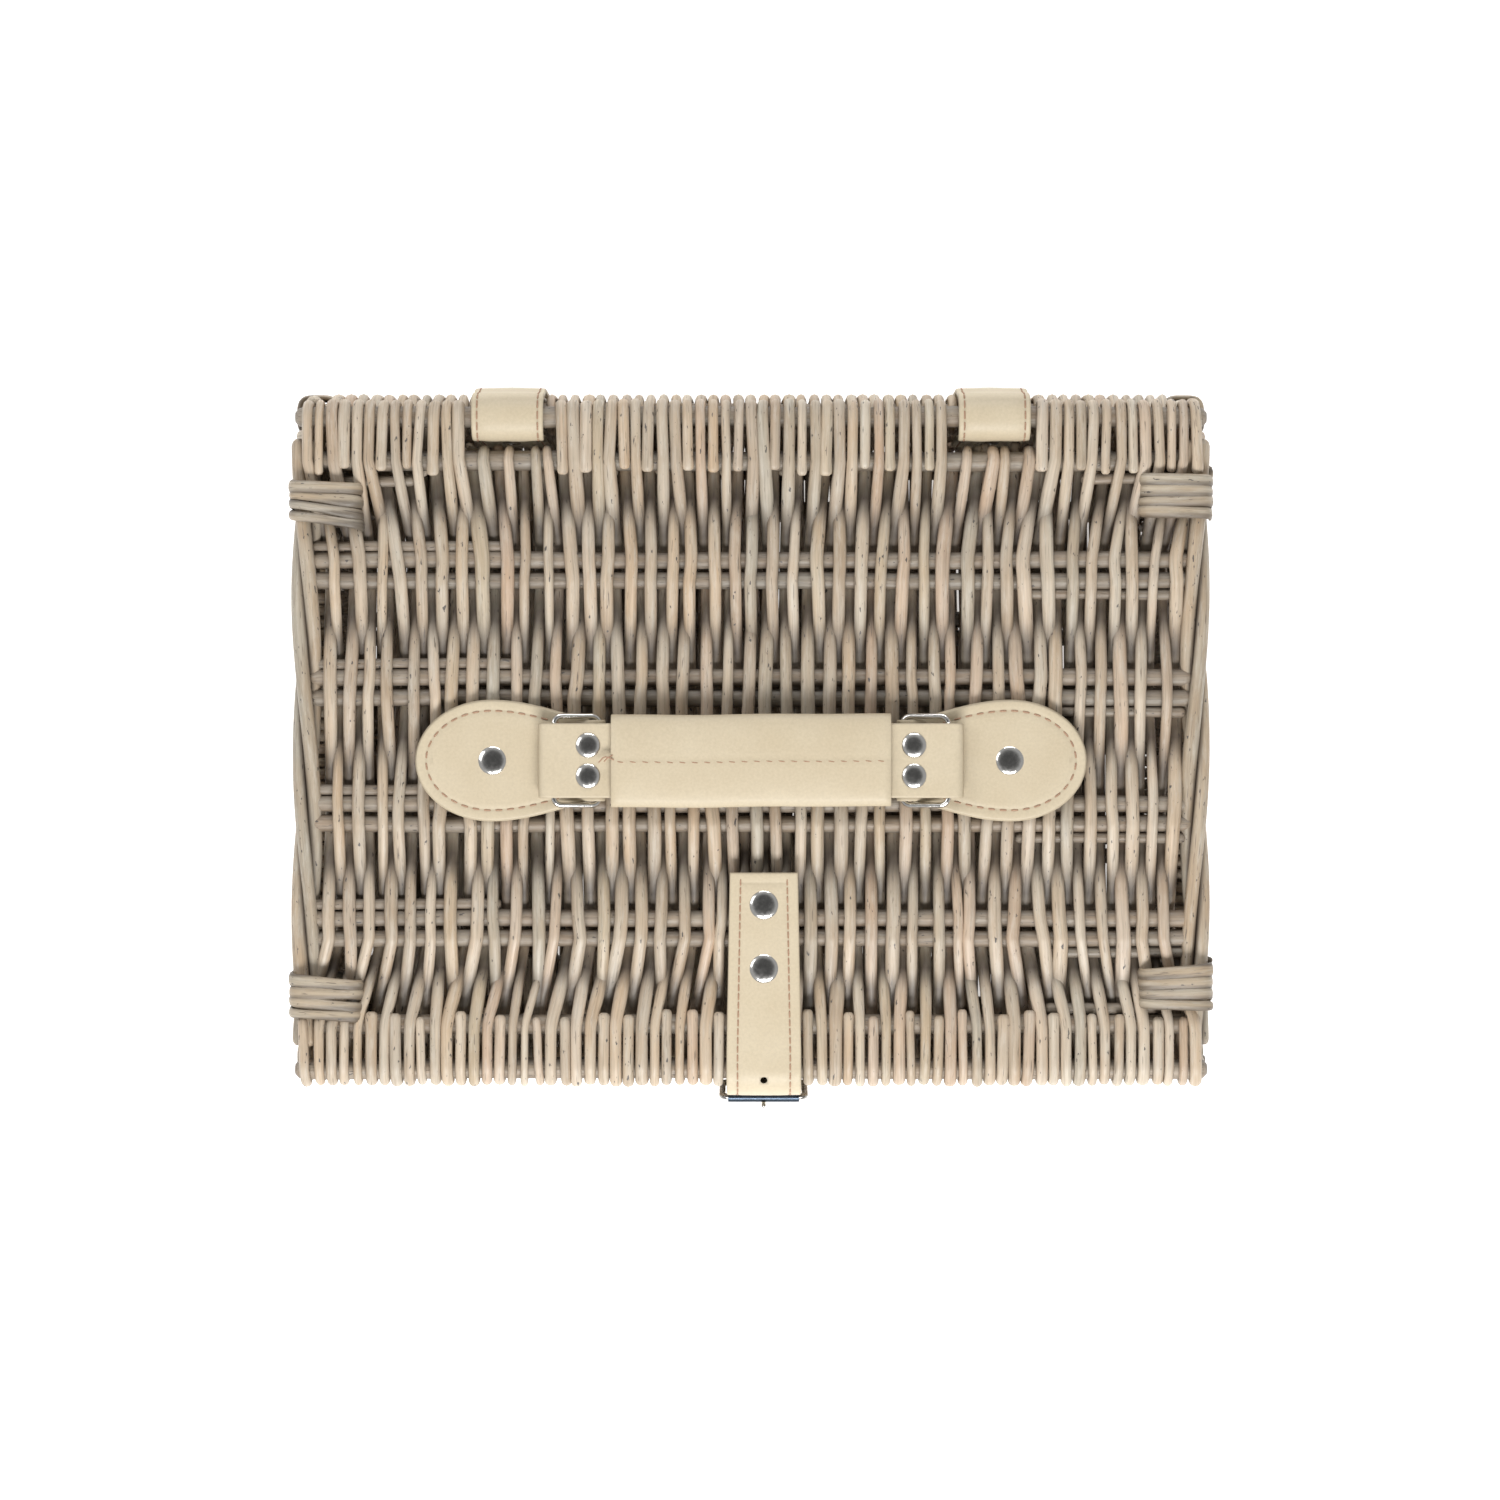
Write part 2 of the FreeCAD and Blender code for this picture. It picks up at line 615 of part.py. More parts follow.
def make_handle_pads():
    """Folded and stitched leather pads on the lid, whose inner folds hold the rings."""
    for side, way in SIDES:
        fold = rod(f"pad_{side}_fold", "Y", PAD_FOLD,
                   (f"{way} * dims.pad_bar", "dims.handle_line - dims.pad_neck / 2", RING_BAR_HEIGHT),
                   "dims.pad_neck")
        neck = box(f"pad_{side}_neck", mirrored_span(way, "dims.pad_bar", "dims.pad_neck_end"),
                   ("dims.handle_line - dims.pad_neck / 2", "dims.handle_line + dims.pad_neck / 2"),
                   (LID_TOP, f"{LID_TOP} + 2 * dims.handle_leather"))
        drop = pad_outline(side, way)
        bore = rod(f"pad_{side}_bore", "Y", "dims.ring_wire + dims.bar_fit",
                   (f"{way} * dims.pad_bar", "dims.handle_line - dims.pad_neck / 2", RING_BAR_HEIGHT),
                   "dims.pad_neck")
        rivet_hole = rivet_bore(f"pad_{side}_rivet_bore", "Z", f"{way} * dims.pad_rivet", "dims.handle_line",
                                f"{LID_TOP} + 2 * dims.handle_leather", PANEL, 1)
        blank = fuse(f"pad_{side}_blank", [fold, neck, drop])
        node(cut(f"pad_{side}_cut", blank, [bore, rivet_hole]), f"handle_pad_{side}")


def pad_outline(side, way):
    """The teardrop: a belt between the neck and the round end."""
    body = doc.addObject("PartDesign::Body", f"pad_{side}_drop")
    outline = belt(body, f"pad_{side}_outline", "XY_Plane",
                   (f"{way} * dims.pad_neck_end", "dims.handle_line", "dims.pad_neck / 2"),
                   (f"{way} * dims.pad_round_place", "dims.handle_line", "dims.pad_round"))
    pad(body, outline, "2 * dims.handle_leather")
    body.setExpression("Placement.Base.z", f"{LID_TOP} + dims.handle_leather")
    return body


def make_rings():
    """Rectangular wire rings between the pads and the strap ends."""
    for side, way in SIDES:
        ring = rounded_frame(f"ring_frame_{side}", RING_LENGTH, "dims.ring_half_width", "dims.ring_corner",
                             "dims.ring_wire")
        tilt = Rotation(Vector(0, 1, 0), -size(RING_TILT))
        spin = Rotation(Vector(0, 0, 1), 0 if way > 0 else 180)
        ring.Placement = Placement(Vector(), spin * tilt)
        place(ring, f"{way} * dims.pad_bar", "dims.handle_line", RING_BAR_HEIGHT)
        node(ring, f"ring_{side}")


def make_strap_ends():
    """The handle's folded ends, each looped round a ring's outer bar and held by two rivets."""
    loop_x = "(dims.pad_bar + dims.ring_reach - dims.loop_back)"
    loop_z = f"({GRIP_HEIGHT} + dims.loop_up)"
    low = "dims.handle_line - dims.strap_end_width / 2"
    width = "dims.strap_end_width"
    for side, way in SIDES:
        name = f"strap_end_{side}"
        root = rod(f"{name}_root", "Y", "dims.handle_leather", (f"{way} * dims.grip_pivot", low, GRIP_HEIGHT),
                   width)
        flat = box(f"{name}_flat", mirrored_span(way, "dims.grip_pivot", loop_x), (low, f"{low} + {width}"),
                   (f"{GRIP_HEIGHT} - dims.handle_leather", f"{GRIP_HEIGHT} + dims.handle_leather"))
        spot = (f"{way} * {loop_x}", low, loop_z)
        loop = rod(f"{name}_loop", "Y", "dims.loop_inner + dims.handle_leather", spot, width)
        eye = rod(f"{name}_eye", "Y", "dims.loop_inner", spot, width)
        rivets = []
        bores = [eye]
        for what, y_way in (("front", -1), ("back", 1)):
            x = f"{way} * dims.strap_rivet"
            y = f"dims.handle_line + {y_way} * dims.strap_rivet_step / 2"
            top = f"{GRIP_HEIGHT} + dims.handle_leather"
            bores.append(rivet_bore(f"{name}_bore_{what}", "Z", x, y, top, "2 * dims.handle_leather", 1))
            rivets.append(strap_rivet(f"{name}_rivet_{what}", x, y, top, "2 * dims.handle_leather"))
        node(cut(f"{name}_cut", fuse(f"{name}_blank", [root, flat, loop]), bores), name)
        node(group(f"{name}_rivet_group", rivets), f"strap_end_rivets_{side}")


def strap_rivet(name, x, y, z, length):
    """A small capped rivet, flush on its underside so that it clears the pad."""
    dome = doc.addObject("Part::Ellipsoid", f"{name}_dome")
    bind(dome, Radius1="dims.rivet_dome", Radius2="dims.small_rivet_cap", Angle1="0", Angle2="90")
    place(dome, x, y, z)
    shank = rod(f"{name}_shank", "Z", "dims.rivet_shank", (x, y, f"{z} - ({length})"), length)
    return fuse(name, [dome, shank])


def make_grip():
    """A sewn leather sleeve round a flat core."""
    half = "dims.sleeve_height / 2"
    low = "dims.handle_line - dims.sleeve_width / 2"
    high = f"{low} + dims.sleeve_width"
    layers = []
    for what, skin in (("outer", "0"), ("inner", "dims.sleeve_wall")):
        body = doc.addObject("PartDesign::Body", f"grip_{what}")
        outline = belt(body, f"grip_{what}_outline", "YZ_Plane",
                       (f"{low} + {half}", GRIP_HEIGHT, f"{half} - {skin}"),
                       (f"{high} - {half}", GRIP_HEIGHT, f"{half} - {skin}"))
        pad(body, outline, "2 * dims.sleeve_half")
        layers.append(body)
    node(cut("grip_sleeve_cut", layers[0], [layers[1]]), "grip_sleeve")
    core = doc.addObject("PartDesign::Body", "grip_core_body")
    core_half = f"{half} - dims.sleeve_wall - dims.rod_fit"
    outline = belt(core, "grip_core_outline", "YZ_Plane",
                   (f"{low} + {half}", GRIP_HEIGHT, core_half), (f"{high} - {half}", GRIP_HEIGHT, core_half))
    pad(core, outline, "2 * dims.sleeve_half")
    node(core, "grip_core")


def make_closure_strap():
    x = ("dims.strap_place - dims.strap_width / 2", "dims.strap_place + dims.strap_width / 2")
    flat = box("closure_strap_sheet", x, ("dims.strap_joint", "dims.strap_end_place"),
               (LID_TOP, f"{LID_TOP} + dims.strap_leather"))
    places = [item for item in lid_rivet_places() if item[0].startswith("strap")]
    bores = [rivet_bore(f"closure_bore_{name}", "Z", x_place, y, f"{LID_TOP} + dims.strap_leather", PANEL, 1)
             for name, x_place, y in places]
    node(cut("closure_strap_cut", flat, bores), "closure_strap")


def make_lid_rivets():
    pads = []
    straps = []
    for name, x, y in lid_rivet_places():
        leather = "2 * dims.handle_leather" if name.startswith("pad") else "dims.strap_leather"
        made = rivet(f"lid_rivet_{name}", "Z", x, y, f"{LID_TOP} + {leather}",
                     f"{PANEL} + {leather}", "dims.rivet_cap", 1)
        (pads if name.startswith("pad") else straps).append(made)
    node(group("pad_rivet_group", pads), "handle_pad_rivets")
    node(group("closure_rivet_group", straps), "closure_strap_rivets")


def make_tail():
    """The closing strap's free end: over the lid's edge, behind the roller, in front of the end bar.

    It is a strip of leather that follows straight runs and one arc. The prong has stretched the used hole.
    """
    leather = size("dims.strap_leather")
    inner = size(HALF_PANEL) + size("dims.tail_gap")
    middle = inner + leather / 2
    turn = Vector(0, size(LID_FRONT), size(LID_MIDDLE))
    start = Vector(0, size("dims.strap_joint") - size("dims.rod_fit"), turn.z + middle)
    crown = Vector(0, turn.y, turn.z + middle)
    shoulder = Vector(0, turn.y - middle, turn.z)
    knee = Vector(0, turn.y - middle, size("dims.tail_cross_high"))
    front = Vector(0, -size("dims.tail_front"), size("dims.tail_cross_low"))
    tip = Vector(0, front.y, size("dims.tail_end"))
    half_turn = Vector(0, turn.y - middle / math.sqrt(2), turn.z + middle / math.sqrt(2))
    path = [Part.makeLine(start, crown), Part.Arc(crown, half_turn, shoulder).toShape(),
            Part.makeLine(shoulder, knee), Part.makeLine(knee, front), Part.makeLine(front, tip)]
    width = size("dims.strap_width")
    wire = Part.Wire(path)
    ribbon = wire.makeOffset2D(leather / 2, 2, False, True, False)
    other = wire.makeOffset2D(-leather / 2, 2, False, True, False)
    ends = [Part.makeLine(ribbon.OrderedVertexes[end].Point, other.OrderedVertexes[end].Point)
            for end in (0, -1)]
    outline = Part.Wire(Part.__sortEdges__(ribbon.Edges + other.Edges + ends))
    strip = Part.Face(outline).extrude(Vector(width, 0, 0))
    strip.translate(Vector(size("dims.strap_place") - width / 2, 0, 0))
    feature = doc.addObject("Part::Feature", "tail_strip")
    feature.Shape = strip
    step = size("dims.tail_hole_step")
    count = int((front.z - tip.z) / step)
    holes = [tail_hole(index, f"dims.prong_hole_low - {index} * dims.tail_hole_step")
             for index in range(1, count)]
    sides = ("dims.strap_place - dims.prong_hole_width / 2", "dims.strap_place + dims.prong_hole_width / 2")
    holes.append(box("tail_prong_hole", sides, (f"-{WALL_FACE} * 2", f"-{WALL_FACE}"),
                     ("dims.prong_hole_low", "dims.prong_hole_high")))
    node(cut("tail_cut", feature, holes), "closure_strap_tail")


def tail_hole(index, height):
    start = ("dims.strap_place", f"-{WALL_FACE} * 2", height)
    return rod(f"tail_hole_{index}", "Y", "dims.tail_hole", start, WALL_FACE)


def make_buckle():
    """A wire frame, a roller on its top bar and a prong on its end bar."""
    rise = "(dims.roller_height - dims.end_bar_height)"
    lean = f"(-dims.roller_place - {END_BAR_PLACE})"
    length = f"sqrt({rise} ^ 2 + {lean} ^ 2)"
    frame = rounded_frame("buckle_wire", length, "dims.buckle_half_width", "dims.buckle_corner",
                          "dims.buckle_bar")
    stand = Rotation(Vector(0, size(lean), size(rise)), Vector(-1, 0, 0), Vector(), "XYZ")
    frame.Placement = Placement(Vector(), stand)
    place(frame, "dims.strap_place", END_BAR_PLACE, "dims.end_bar_height")
    node(frame, "buckle_frame")
    start = ("dims.strap_place - dims.roller_length / 2", "-dims.roller_place", "dims.roller_height")
    tube = rod("roller_outer", "X", "dims.roller", start, "dims.roller_length")
    bore = rod("roller_bore", "X", "dims.buckle_bar + dims.bar_fit", start, "dims.roller_length")
    node(cut("roller_cut", tube, [bore]), "buckle_roller")
    make_prong()


def make_prong():
    half = "dims.prong_eye_half"
    start = (f"dims.strap_place - {half}", END_BAR_PLACE, "dims.end_bar_height")
    eye = rod("prong_eye_outer", "X", "dims.prong_eye", start, f"2 * {half}")
    bore_start = ("dims.strap_place - dims.prong", END_BAR_PLACE, "dims.end_bar_height")
    bore = rod("prong_eye_bore", "X", "dims.buckle_bar + dims.bar_fit", bore_start, "2 * dims.prong")
    x = size("dims.strap_place")
    root = Vector(x, size(END_BAR_PLACE), size("dims.end_bar_height"))
    knee = Vector(x, -size("dims.prong_knee_place"), size("dims.prong_knee_height"))
    tip = Vector(x, -size("dims.prong_tip_place"), size("dims.prong_tip_height"))
    radius = size("dims.prong")
    shapes = []
    for low, high in ((root, knee), (knee, tip)):
        run = high - low
        shapes.append(Part.makeCylinder(radius, run.Length, low, run))
    shapes += [Part.makeSphere(radius, spot) for spot in (knee, tip)]
    arm = doc.addObject("Part::Feature", "prong_arm")
    arm.Shape = shapes[0].fuse(shapes[1:])
    blank = fuse("prong_blank", [eye, arm])
    blank.Refine = False
    node(cut("prong_cut", blank, [bore]), "buckle_prong")


def save():
    """Recomputes, checks every object and writes one STEP file per sub-part."""
    doc.recompute()
    broken = [item.Label for item in doc.Objects if "Invalid" in item.State or "Error" in item.State]
    if broken:
        raise SystemExit(f"failed objects: {broken}")
    for item in nodes:
        if item.Shape.isNull() or not item.Shape.isValid():
            raise SystemExit(f"bad shape: {item.Label}")
    os.makedirs("parts", exist_ok=True)
    for item in nodes:
        item.Shape.exportStep(f"parts/{item.Label}.step")
        print(f"{item.Label}: {len(item.Shape.Solids)} solids, {item.Shape.Volume:.1f} mm3")


sheet = make_sheet()
make_base()
make_walls()
make_corners()
make_hinge_straps()
make_buckle_strap()
make_lid()
make_handle_pads()
make_rings()
make_strap_ends()
make_grip()
make_closure_strap()
make_lid_rivets()
make_tail()
make_buckle()
save()
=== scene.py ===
"""Looks of the willow hamper: every weaver, rod and winding, the leather, the nickel and the studio.

Lengths are in millimetres up to the mesh builder, which turns them into metres. The camera, the lights, the
floor and the height of the materials' bumps are in metres.
"""

import math

import bpy
import numpy as np
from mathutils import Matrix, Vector


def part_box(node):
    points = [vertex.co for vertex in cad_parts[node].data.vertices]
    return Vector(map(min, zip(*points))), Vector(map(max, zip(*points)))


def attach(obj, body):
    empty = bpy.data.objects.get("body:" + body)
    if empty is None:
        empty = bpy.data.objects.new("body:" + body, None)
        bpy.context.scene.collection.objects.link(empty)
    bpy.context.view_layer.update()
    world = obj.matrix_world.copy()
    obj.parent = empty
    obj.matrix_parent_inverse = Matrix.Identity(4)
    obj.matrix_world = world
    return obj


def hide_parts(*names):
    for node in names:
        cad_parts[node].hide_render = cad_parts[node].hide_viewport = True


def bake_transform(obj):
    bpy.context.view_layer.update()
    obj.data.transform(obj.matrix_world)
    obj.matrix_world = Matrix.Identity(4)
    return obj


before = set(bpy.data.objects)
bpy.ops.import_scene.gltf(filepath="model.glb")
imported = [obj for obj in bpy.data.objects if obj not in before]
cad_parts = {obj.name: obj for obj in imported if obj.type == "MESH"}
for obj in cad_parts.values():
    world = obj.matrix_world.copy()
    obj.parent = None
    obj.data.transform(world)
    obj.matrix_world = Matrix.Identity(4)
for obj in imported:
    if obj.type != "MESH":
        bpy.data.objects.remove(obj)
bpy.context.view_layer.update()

MM = 0.001
rng = np.random.default_rng(11)


def node_box(name):
    """The lowest and highest corners of a CAD node, in millimetres."""
    low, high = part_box(name)
    return np.array(low) / MM, np.array(high) / MM


def node_middle(name):
    """The middle of a CAD node's box, in millimetres."""
    low, high = node_box(name)
    return (low + high) / 2


# ---------------------------------------------------------------- driving sizes
LID_LOW, LID_HIGH = node_box("lid_weave")
LID_TOP = LID_HIGH[2]
LID_CENTRE, LID_MIDDLE = node_middle("lid_weave")[1:]      # along y, and up z
HALF_PANEL = (LID_HIGH[2] - LID_LOW[2]) / 2
EDGE_INSET = HALF_PANEL                     # from a panel's edge to its outer rod
SECOND_INSET = EDGE_INSET + 17.4            # and to the rod inside it
EDGE_ROD = 4.2
SECOND_ROD = 4.0
CORE_ROD = 3.4
PAIR_HALF_STEP = 3.9

STRAND_WIDE = 2.42                          # half width and half thickness of a weaver
STRAND_THIN = 1.95
STRAND_PITCH = 8.1                          # between neighbours of one set
SLOT_PITCH = 4.95                           # between neighbours where they wrap an edge
STRAND_SWAY = 0.75                          # how unevenly weavers cross the rods
PAIR_SINK = 0.45                            # how far a weaver sinks onto the first rod of a pair
PAIR_RISE = 0.25                            # and stands off the second
EDGE_REST = EDGE_ROD + STRAND_THIN          # from the middle of a rod to that of a weaver on it
SECOND_REST = SECOND_ROD + STRAND_THIN
WINDING_POWER = 3.976                       # how square a turn of winding is: 2 would be an ellipse
LEATHER = 1.5
STRAP_LEATHER = 2.0
WIRE = 1.1                                  # radius of the rings' wire
SEAM = 4.3                                  # from a strap's edge to its stitches
SIDES = (("left", -1), ("right", 1))


# ---------------------------------------------------------------- mesh building
class Batch:
    """Collects tubes and sheets of points, then makes one mesh of them."""

    def __init__(self):
        self.points = []
        self.faces = []
        self.strand = []
        self.tint = []
        self.depth = []
        self.total = 0

    def add(self, points, faces, tint=0.5, depth=1.0, strand=None):
        """tint picks a strand's tone, depth paints shade into hollows, and strand gives places along a
        strand.
        """
        points = np.asarray(points, float)
        count = len(points)
        self.points.append(points)
        self.faces += [[int(index) + self.total for index in face] for face in faces]
        self.tint.append(np.full(count, tint))
        self.depth.append(np.broadcast_to(np.asarray(depth, float), (count,)))
        self.strand.append(points if strand is None else strand)
        self.total += count

    def build(self, name, finish, body, stands_for=()):
        """Makes the mesh; body is the frame body it rides on, or None for a piece to be blended."""
        mesh = bpy.data.meshes.new(name)
        mesh.from_pydata((np.concatenate(self.points) * MM).tolist(), [], self.faces)
        for label, values in (("tint", self.tint), ("depth", self.depth)):
            layer = mesh.attributes.new(label, "FLOAT", "POINT")
            layer.data.foreach_set("value", np.concatenate(values).astype(np.float32))
        layer = mesh.attributes.new("strand", "FLOAT_VECTOR", "POINT")
        layer.data.foreach_set("vector", np.concatenate(self.strand).astype(np.float32).ravel())
        mesh.polygons.foreach_set("use_smooth", [True] * len(mesh.polygons))
        mesh.update()
        item = bpy.data.objects.new(name, mesh)
        bpy.context.scene.collection.objects.link(item)
        mesh.materials.append(finish)
        if stands_for:
            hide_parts(*stands_for)
        if body:
            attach(item, body)
        return item


def ring_faces(rows, count):
    """The faces between rows of closed rings, each of count points."""
    faces = []
    for start in range(0, (rows - 1) * count, count):
        for column in range(count):
            after = (column + 1) % count
            faces.append((start + column, start + after, start + count + after, start + count + column))
    return faces


def unit(vectors):
    """The same vectors with a length of 1."""
    return vectors / np.maximum(np.linalg.norm(vectors, axis=-1, keepdims=True), 1e-9)


def run_along(line):
    """How far along a line each of its points lies."""
    return np.concatenate([[0], np.cumsum(np.linalg.norm(np.diff(line, axis=0), axis=1))])


def tube(batch, path, side, wide, thin, sides=10, depth=None, round_ends=True):
    """A bar of elliptical section along a path.

    side points across its width, and depth works out from points how far out of the weave they stand.
    """
    path = np.asarray(path, float)
    count = len(path)
    wide = np.broadcast_to(wide, (count,)).copy()
    thin = np.broadcast_to(thin, (count,)).copy()
    tangent = unit(np.gradient(path, axis=0))
    side = np.broadcast_to(np.asarray(side, float), path.shape)
    across = unit(side - tangent * np.sum(side * tangent, axis=1, keepdims=True))
    normal = np.cross(tangent, across)
    if round_ends:
        path, across, normal, wide, thin = rounded_ends(path, tangent, across, normal, wide, thin)
        count = len(path)
    angle = np.linspace(0, 2 * math.pi, sides, endpoint=False)
    ring = (np.cos(angle)[None, :, None] * across[:, None, :] * wide[:, None, None]
            + np.sin(angle)[None, :, None] * normal[:, None, :] * thin[:, None, None])
    points = (path[:, None, :] + ring).reshape(-1, 3)
    faces = ring_faces(count, sides)
    faces.append(tuple(range(sides - 1, -1, -1)))
    faces.append(tuple(range((count - 1) * sides, count * sides)))
    run = run_along(path)
    strand = np.stack([
        np.repeat(run, sides),
        np.tile(np.cos(angle), count) * np.repeat(wide, sides),
        np.tile(np.sin(angle), count) * np.repeat(thin, sides),
    ], axis=1) + rng.uniform(0, 900, 3)
    batch.add(points, faces, rng.random(), depth(points) if depth else 1.0, strand)


def rounded_ends(path, tangent, across, normal, wide, thin):
    """Closes each end of a tube with two shrinking rings, just past the end of its path."""
    steps = np.array([0.55, 0.9])
    sizes = np.array([0.86, 0.5])
    parts = []
    for end, outward, order in ((0, -tangent[0], -1), (-1, tangent[-1], 1)):
        reach = min(thin[end], wide[end]) * steps[::order]
        spots = path[end] + outward * reach[:, None]
        shrink = sizes[::order]
        parts.append((spots, np.repeat(across[[end]], 2, 0), np.repeat(normal[[end]], 2, 0),
                      wide[end] * shrink, thin[end] * shrink))
    body = (path, across, normal, wide, thin)
    return tuple(np.concatenate([parts[0][index], body[index], parts[1][index]]) for index in range(5))


def smooth_noise(count, size, knots):
    """A gently wandering line of values."""
    spots = np.linspace(0, 1, knots)
    values = rng.normal(0, size, knots)
    where = np.linspace(0, 1, count)
    coarse = np.interp(where, spots, values)
    reach = max(3, count // (2 * knots))
    kernel = np.ones(reach) / reach
    padded = np.pad(coarse, reach, mode="edge")
    return np.convolve(padded, kernel, mode="same")[reach:-reach]


def rounded_line(corners, bend, step=4.5):
    """A line through corners, each rounded by a short curve; bend is how far from the corner it starts."""
    corners = np.asarray(corners, float)
    bend = np.broadcast_to(bend, (len(corners),))
    result = [corners[0]]
    for index in range(1, len(corners)):
        before, here = corners[index - 1], corners[index]
        run = np.linalg.norm(here - before)
        heading = (here - before) / max(run, 1e-9)
        last = index == len(corners) - 1
        reach = 0 if last else min(bend[index], run * 0.45)
        straight = here - heading * reach
        pieces = max(1, int(np.linalg.norm(straight - result[-1]) / step))
        start = result[-1]
        result += [start + (straight - start) * part / pieces for part in range(1, pieces + 1)]
        if last:
            break
        after = corners[index + 1]
        onward = np.linalg.norm(after - here)
        leave = here + (after - here) / max(onward, 1e-9) * min(bend[index], onward * 0.45)
        for part in (0.34, 0.67, 1.0):
            result.append((1 - part) ** 2 * straight + 2 * part * (1 - part) * here + part ** 2 * leave)
    return np.array(result)


# ---------------------------------------------------------------- materials
class Tree:
    """A node tree, with a short way to add each kind of node that the finishes use."""

    def __init__(self, tree):
        self.nodes = tree.nodes
        self.links = tree.links

    def object_place(self):
        return self.nodes.new("ShaderNodeTexCoord").outputs["Object"]

    def attribute(self, name, output="Fac"):
        item = self.nodes.new("ShaderNodeAttribute")
        item.attribute_name = name
        return item.outputs[output]

    def noise(self, vector, scale, detail=3.0, roughness=0.6):
        noise = self.nodes.new("ShaderNodeTexNoise")
        noise.inputs["Scale"].default_value = scale
        noise.inputs["Detail"].default_value = detail
        noise.inputs["Roughness"].default_value = roughness
        self.links.new(vector, noise.inputs["Vector"])
        return noise.outputs["Fac"]

    def stretched(self, vector, scale):
        mapping = self.nodes.new("ShaderNodeMapping")
        mapping.inputs["Scale"].default_value = scale
        self.links.new(vector, mapping.inputs["Vector"])
        return mapping.outputs["Vector"]

    def ramp(self, value, stops):
        """A colour ramp through stops of (place, grey or colour)."""
        ramp = self.nodes.new("ShaderNodeValToRGB")
        while len(ramp.color_ramp.elements) < len(stops):
            ramp.color_ramp.elements.new(0.5)
        for element, (place, colour) in zip(ramp.color_ramp.elements, stops):
            element.position = place
            element.color = (colour, colour, colour, 1) if isinstance(colour, float) else (*colour, 1)
        self.links.new(value, ramp.inputs["Fac"])
        return ramp.outputs["Color"]

    def mix(self, factor, first, second, blend="MIX"):
        """Mixes two colours, each a colour or another node's output."""
        mix = self.nodes.new("ShaderNodeMix")
        mix.data_type = "RGBA"
        mix.blend_type = blend
        for label, value in (("Factor", factor), ("A", first), ("B", second)):
            if isinstance(value, bpy.types.NodeSocket):
                self.links.new(value, mix.inputs[label])
            elif isinstance(value, tuple):
                mix.inputs[label].default_value = (*value, 1)
            else:
                mix.inputs[label].default_value = value
        return mix.outputs["Result"]

    def bump(self, shader, height, strength, distance):
        bump = self.nodes.new("ShaderNodeBump")
        bump.inputs["Strength"].default_value = strength
        bump.inputs["Distance"].default_value = distance
        self.links.new(height, bump.inputs["Height"])
        self.links.new(bump.outputs["Normal"], shader.inputs["Normal"])


def new_material(name):
    """A material with only a shader in it. Returns it with its tree and its shader."""
    material = bpy.data.materials.new(name)
    material.use_nodes = True
    tree = Tree(material.node_tree)
    tree.nodes.clear()
    output = tree.nodes.new("ShaderNodeOutputMaterial")
    shader = tree.nodes.new("ShaderNodeBsdfPrincipled")
    tree.links.new(shader.outputs[0], output.inputs[0])
    return material, tree, shader


HOLLOW_SHADE = (0.055, 0.040, 0.028)              # painted shade: willow between the strands, where no wash or light gets
# Marks on willow: (stretch of the noise, detail, roughness, how it fades in, colour).
WASH = ((0.08, 0.5, 0.5), 5.0, 0.7, [(0.50, 0.0), (0.72, 0.42)], (0.60, 0.57, 0.50))
SPECKS = ((0.30, 0.75, 0.75), 2.0, 0.5, [(0.685, 0.0), (0.72, 0.9)], (0.05, 0.045, 0.045))
CRACKS = ((0.11, 1.5, 1.5), 2.0, 0.5, [(0.67, 0.0), (0.71, 0.7)], (0.09, 0.07, 0.055))


def willow(name, tones):
    """Antique-washed willow: each strand its own tone, streaked along its length, with painted shade in the
    hollows.
    """
    material, tree, shader = new_material(name)
    strand = tree.attribute("strand", "Vector")

    def grain(stretch, detail, roughness=0.6):
        return tree.noise(tree.stretched(strand, stretch), 1.0, detail, roughness)

    stops = [(index / (len(tones) - 1), tone) for index, tone in enumerate(tones)]
    base = tree.ramp(tree.attribute("tint"), stops)
    patches = [(0.36, (0.50, 0.45, 0.38)), (0.64, (0.40, 0.27, 0.17))]
    base = tree.mix(0.32, base, tree.ramp(grain((0.03, 0.12, 0.12), 2.0), patches))
    streaks = grain((0.045, 1.1, 1.1), 4.0, 0.65)
    base = tree.mix(0.85, base, tree.ramp(streaks, [(0.30, 0.66), (0.50, 0.98), (0.72, 1.16)]), "MULTIPLY")
    for stretch, detail, roughness, fade, tone in (WASH, SPECKS, CRACKS):
        base = tree.mix(tree.ramp(grain(stretch, detail, roughness), fade), base, tone)
    # Painted shade: where depth is low, deep in the weave, the colour darkens to the hollow colour.
    shade = tree.ramp(tree.attribute("depth"), [(0.0, 0.05), (0.18, 0.35), (0.36, 0.85), (0.55, 1.0)])
    tree.links.new(tree.mix(shade, HOLLOW_SHADE, base), shader.inputs["Base Color"])
    tree.links.new(tree.ramp(streaks, [(0.3, 0.58), (0.7, 0.40)]), shader.inputs["Roughness"])
    shader.inputs["Specular IOR Level"].default_value = 0.62
    tree.bump(shader, grain((0.10, 2.4, 2.4), 4.0, 0.7), 0.5, 0.00035)
    return material


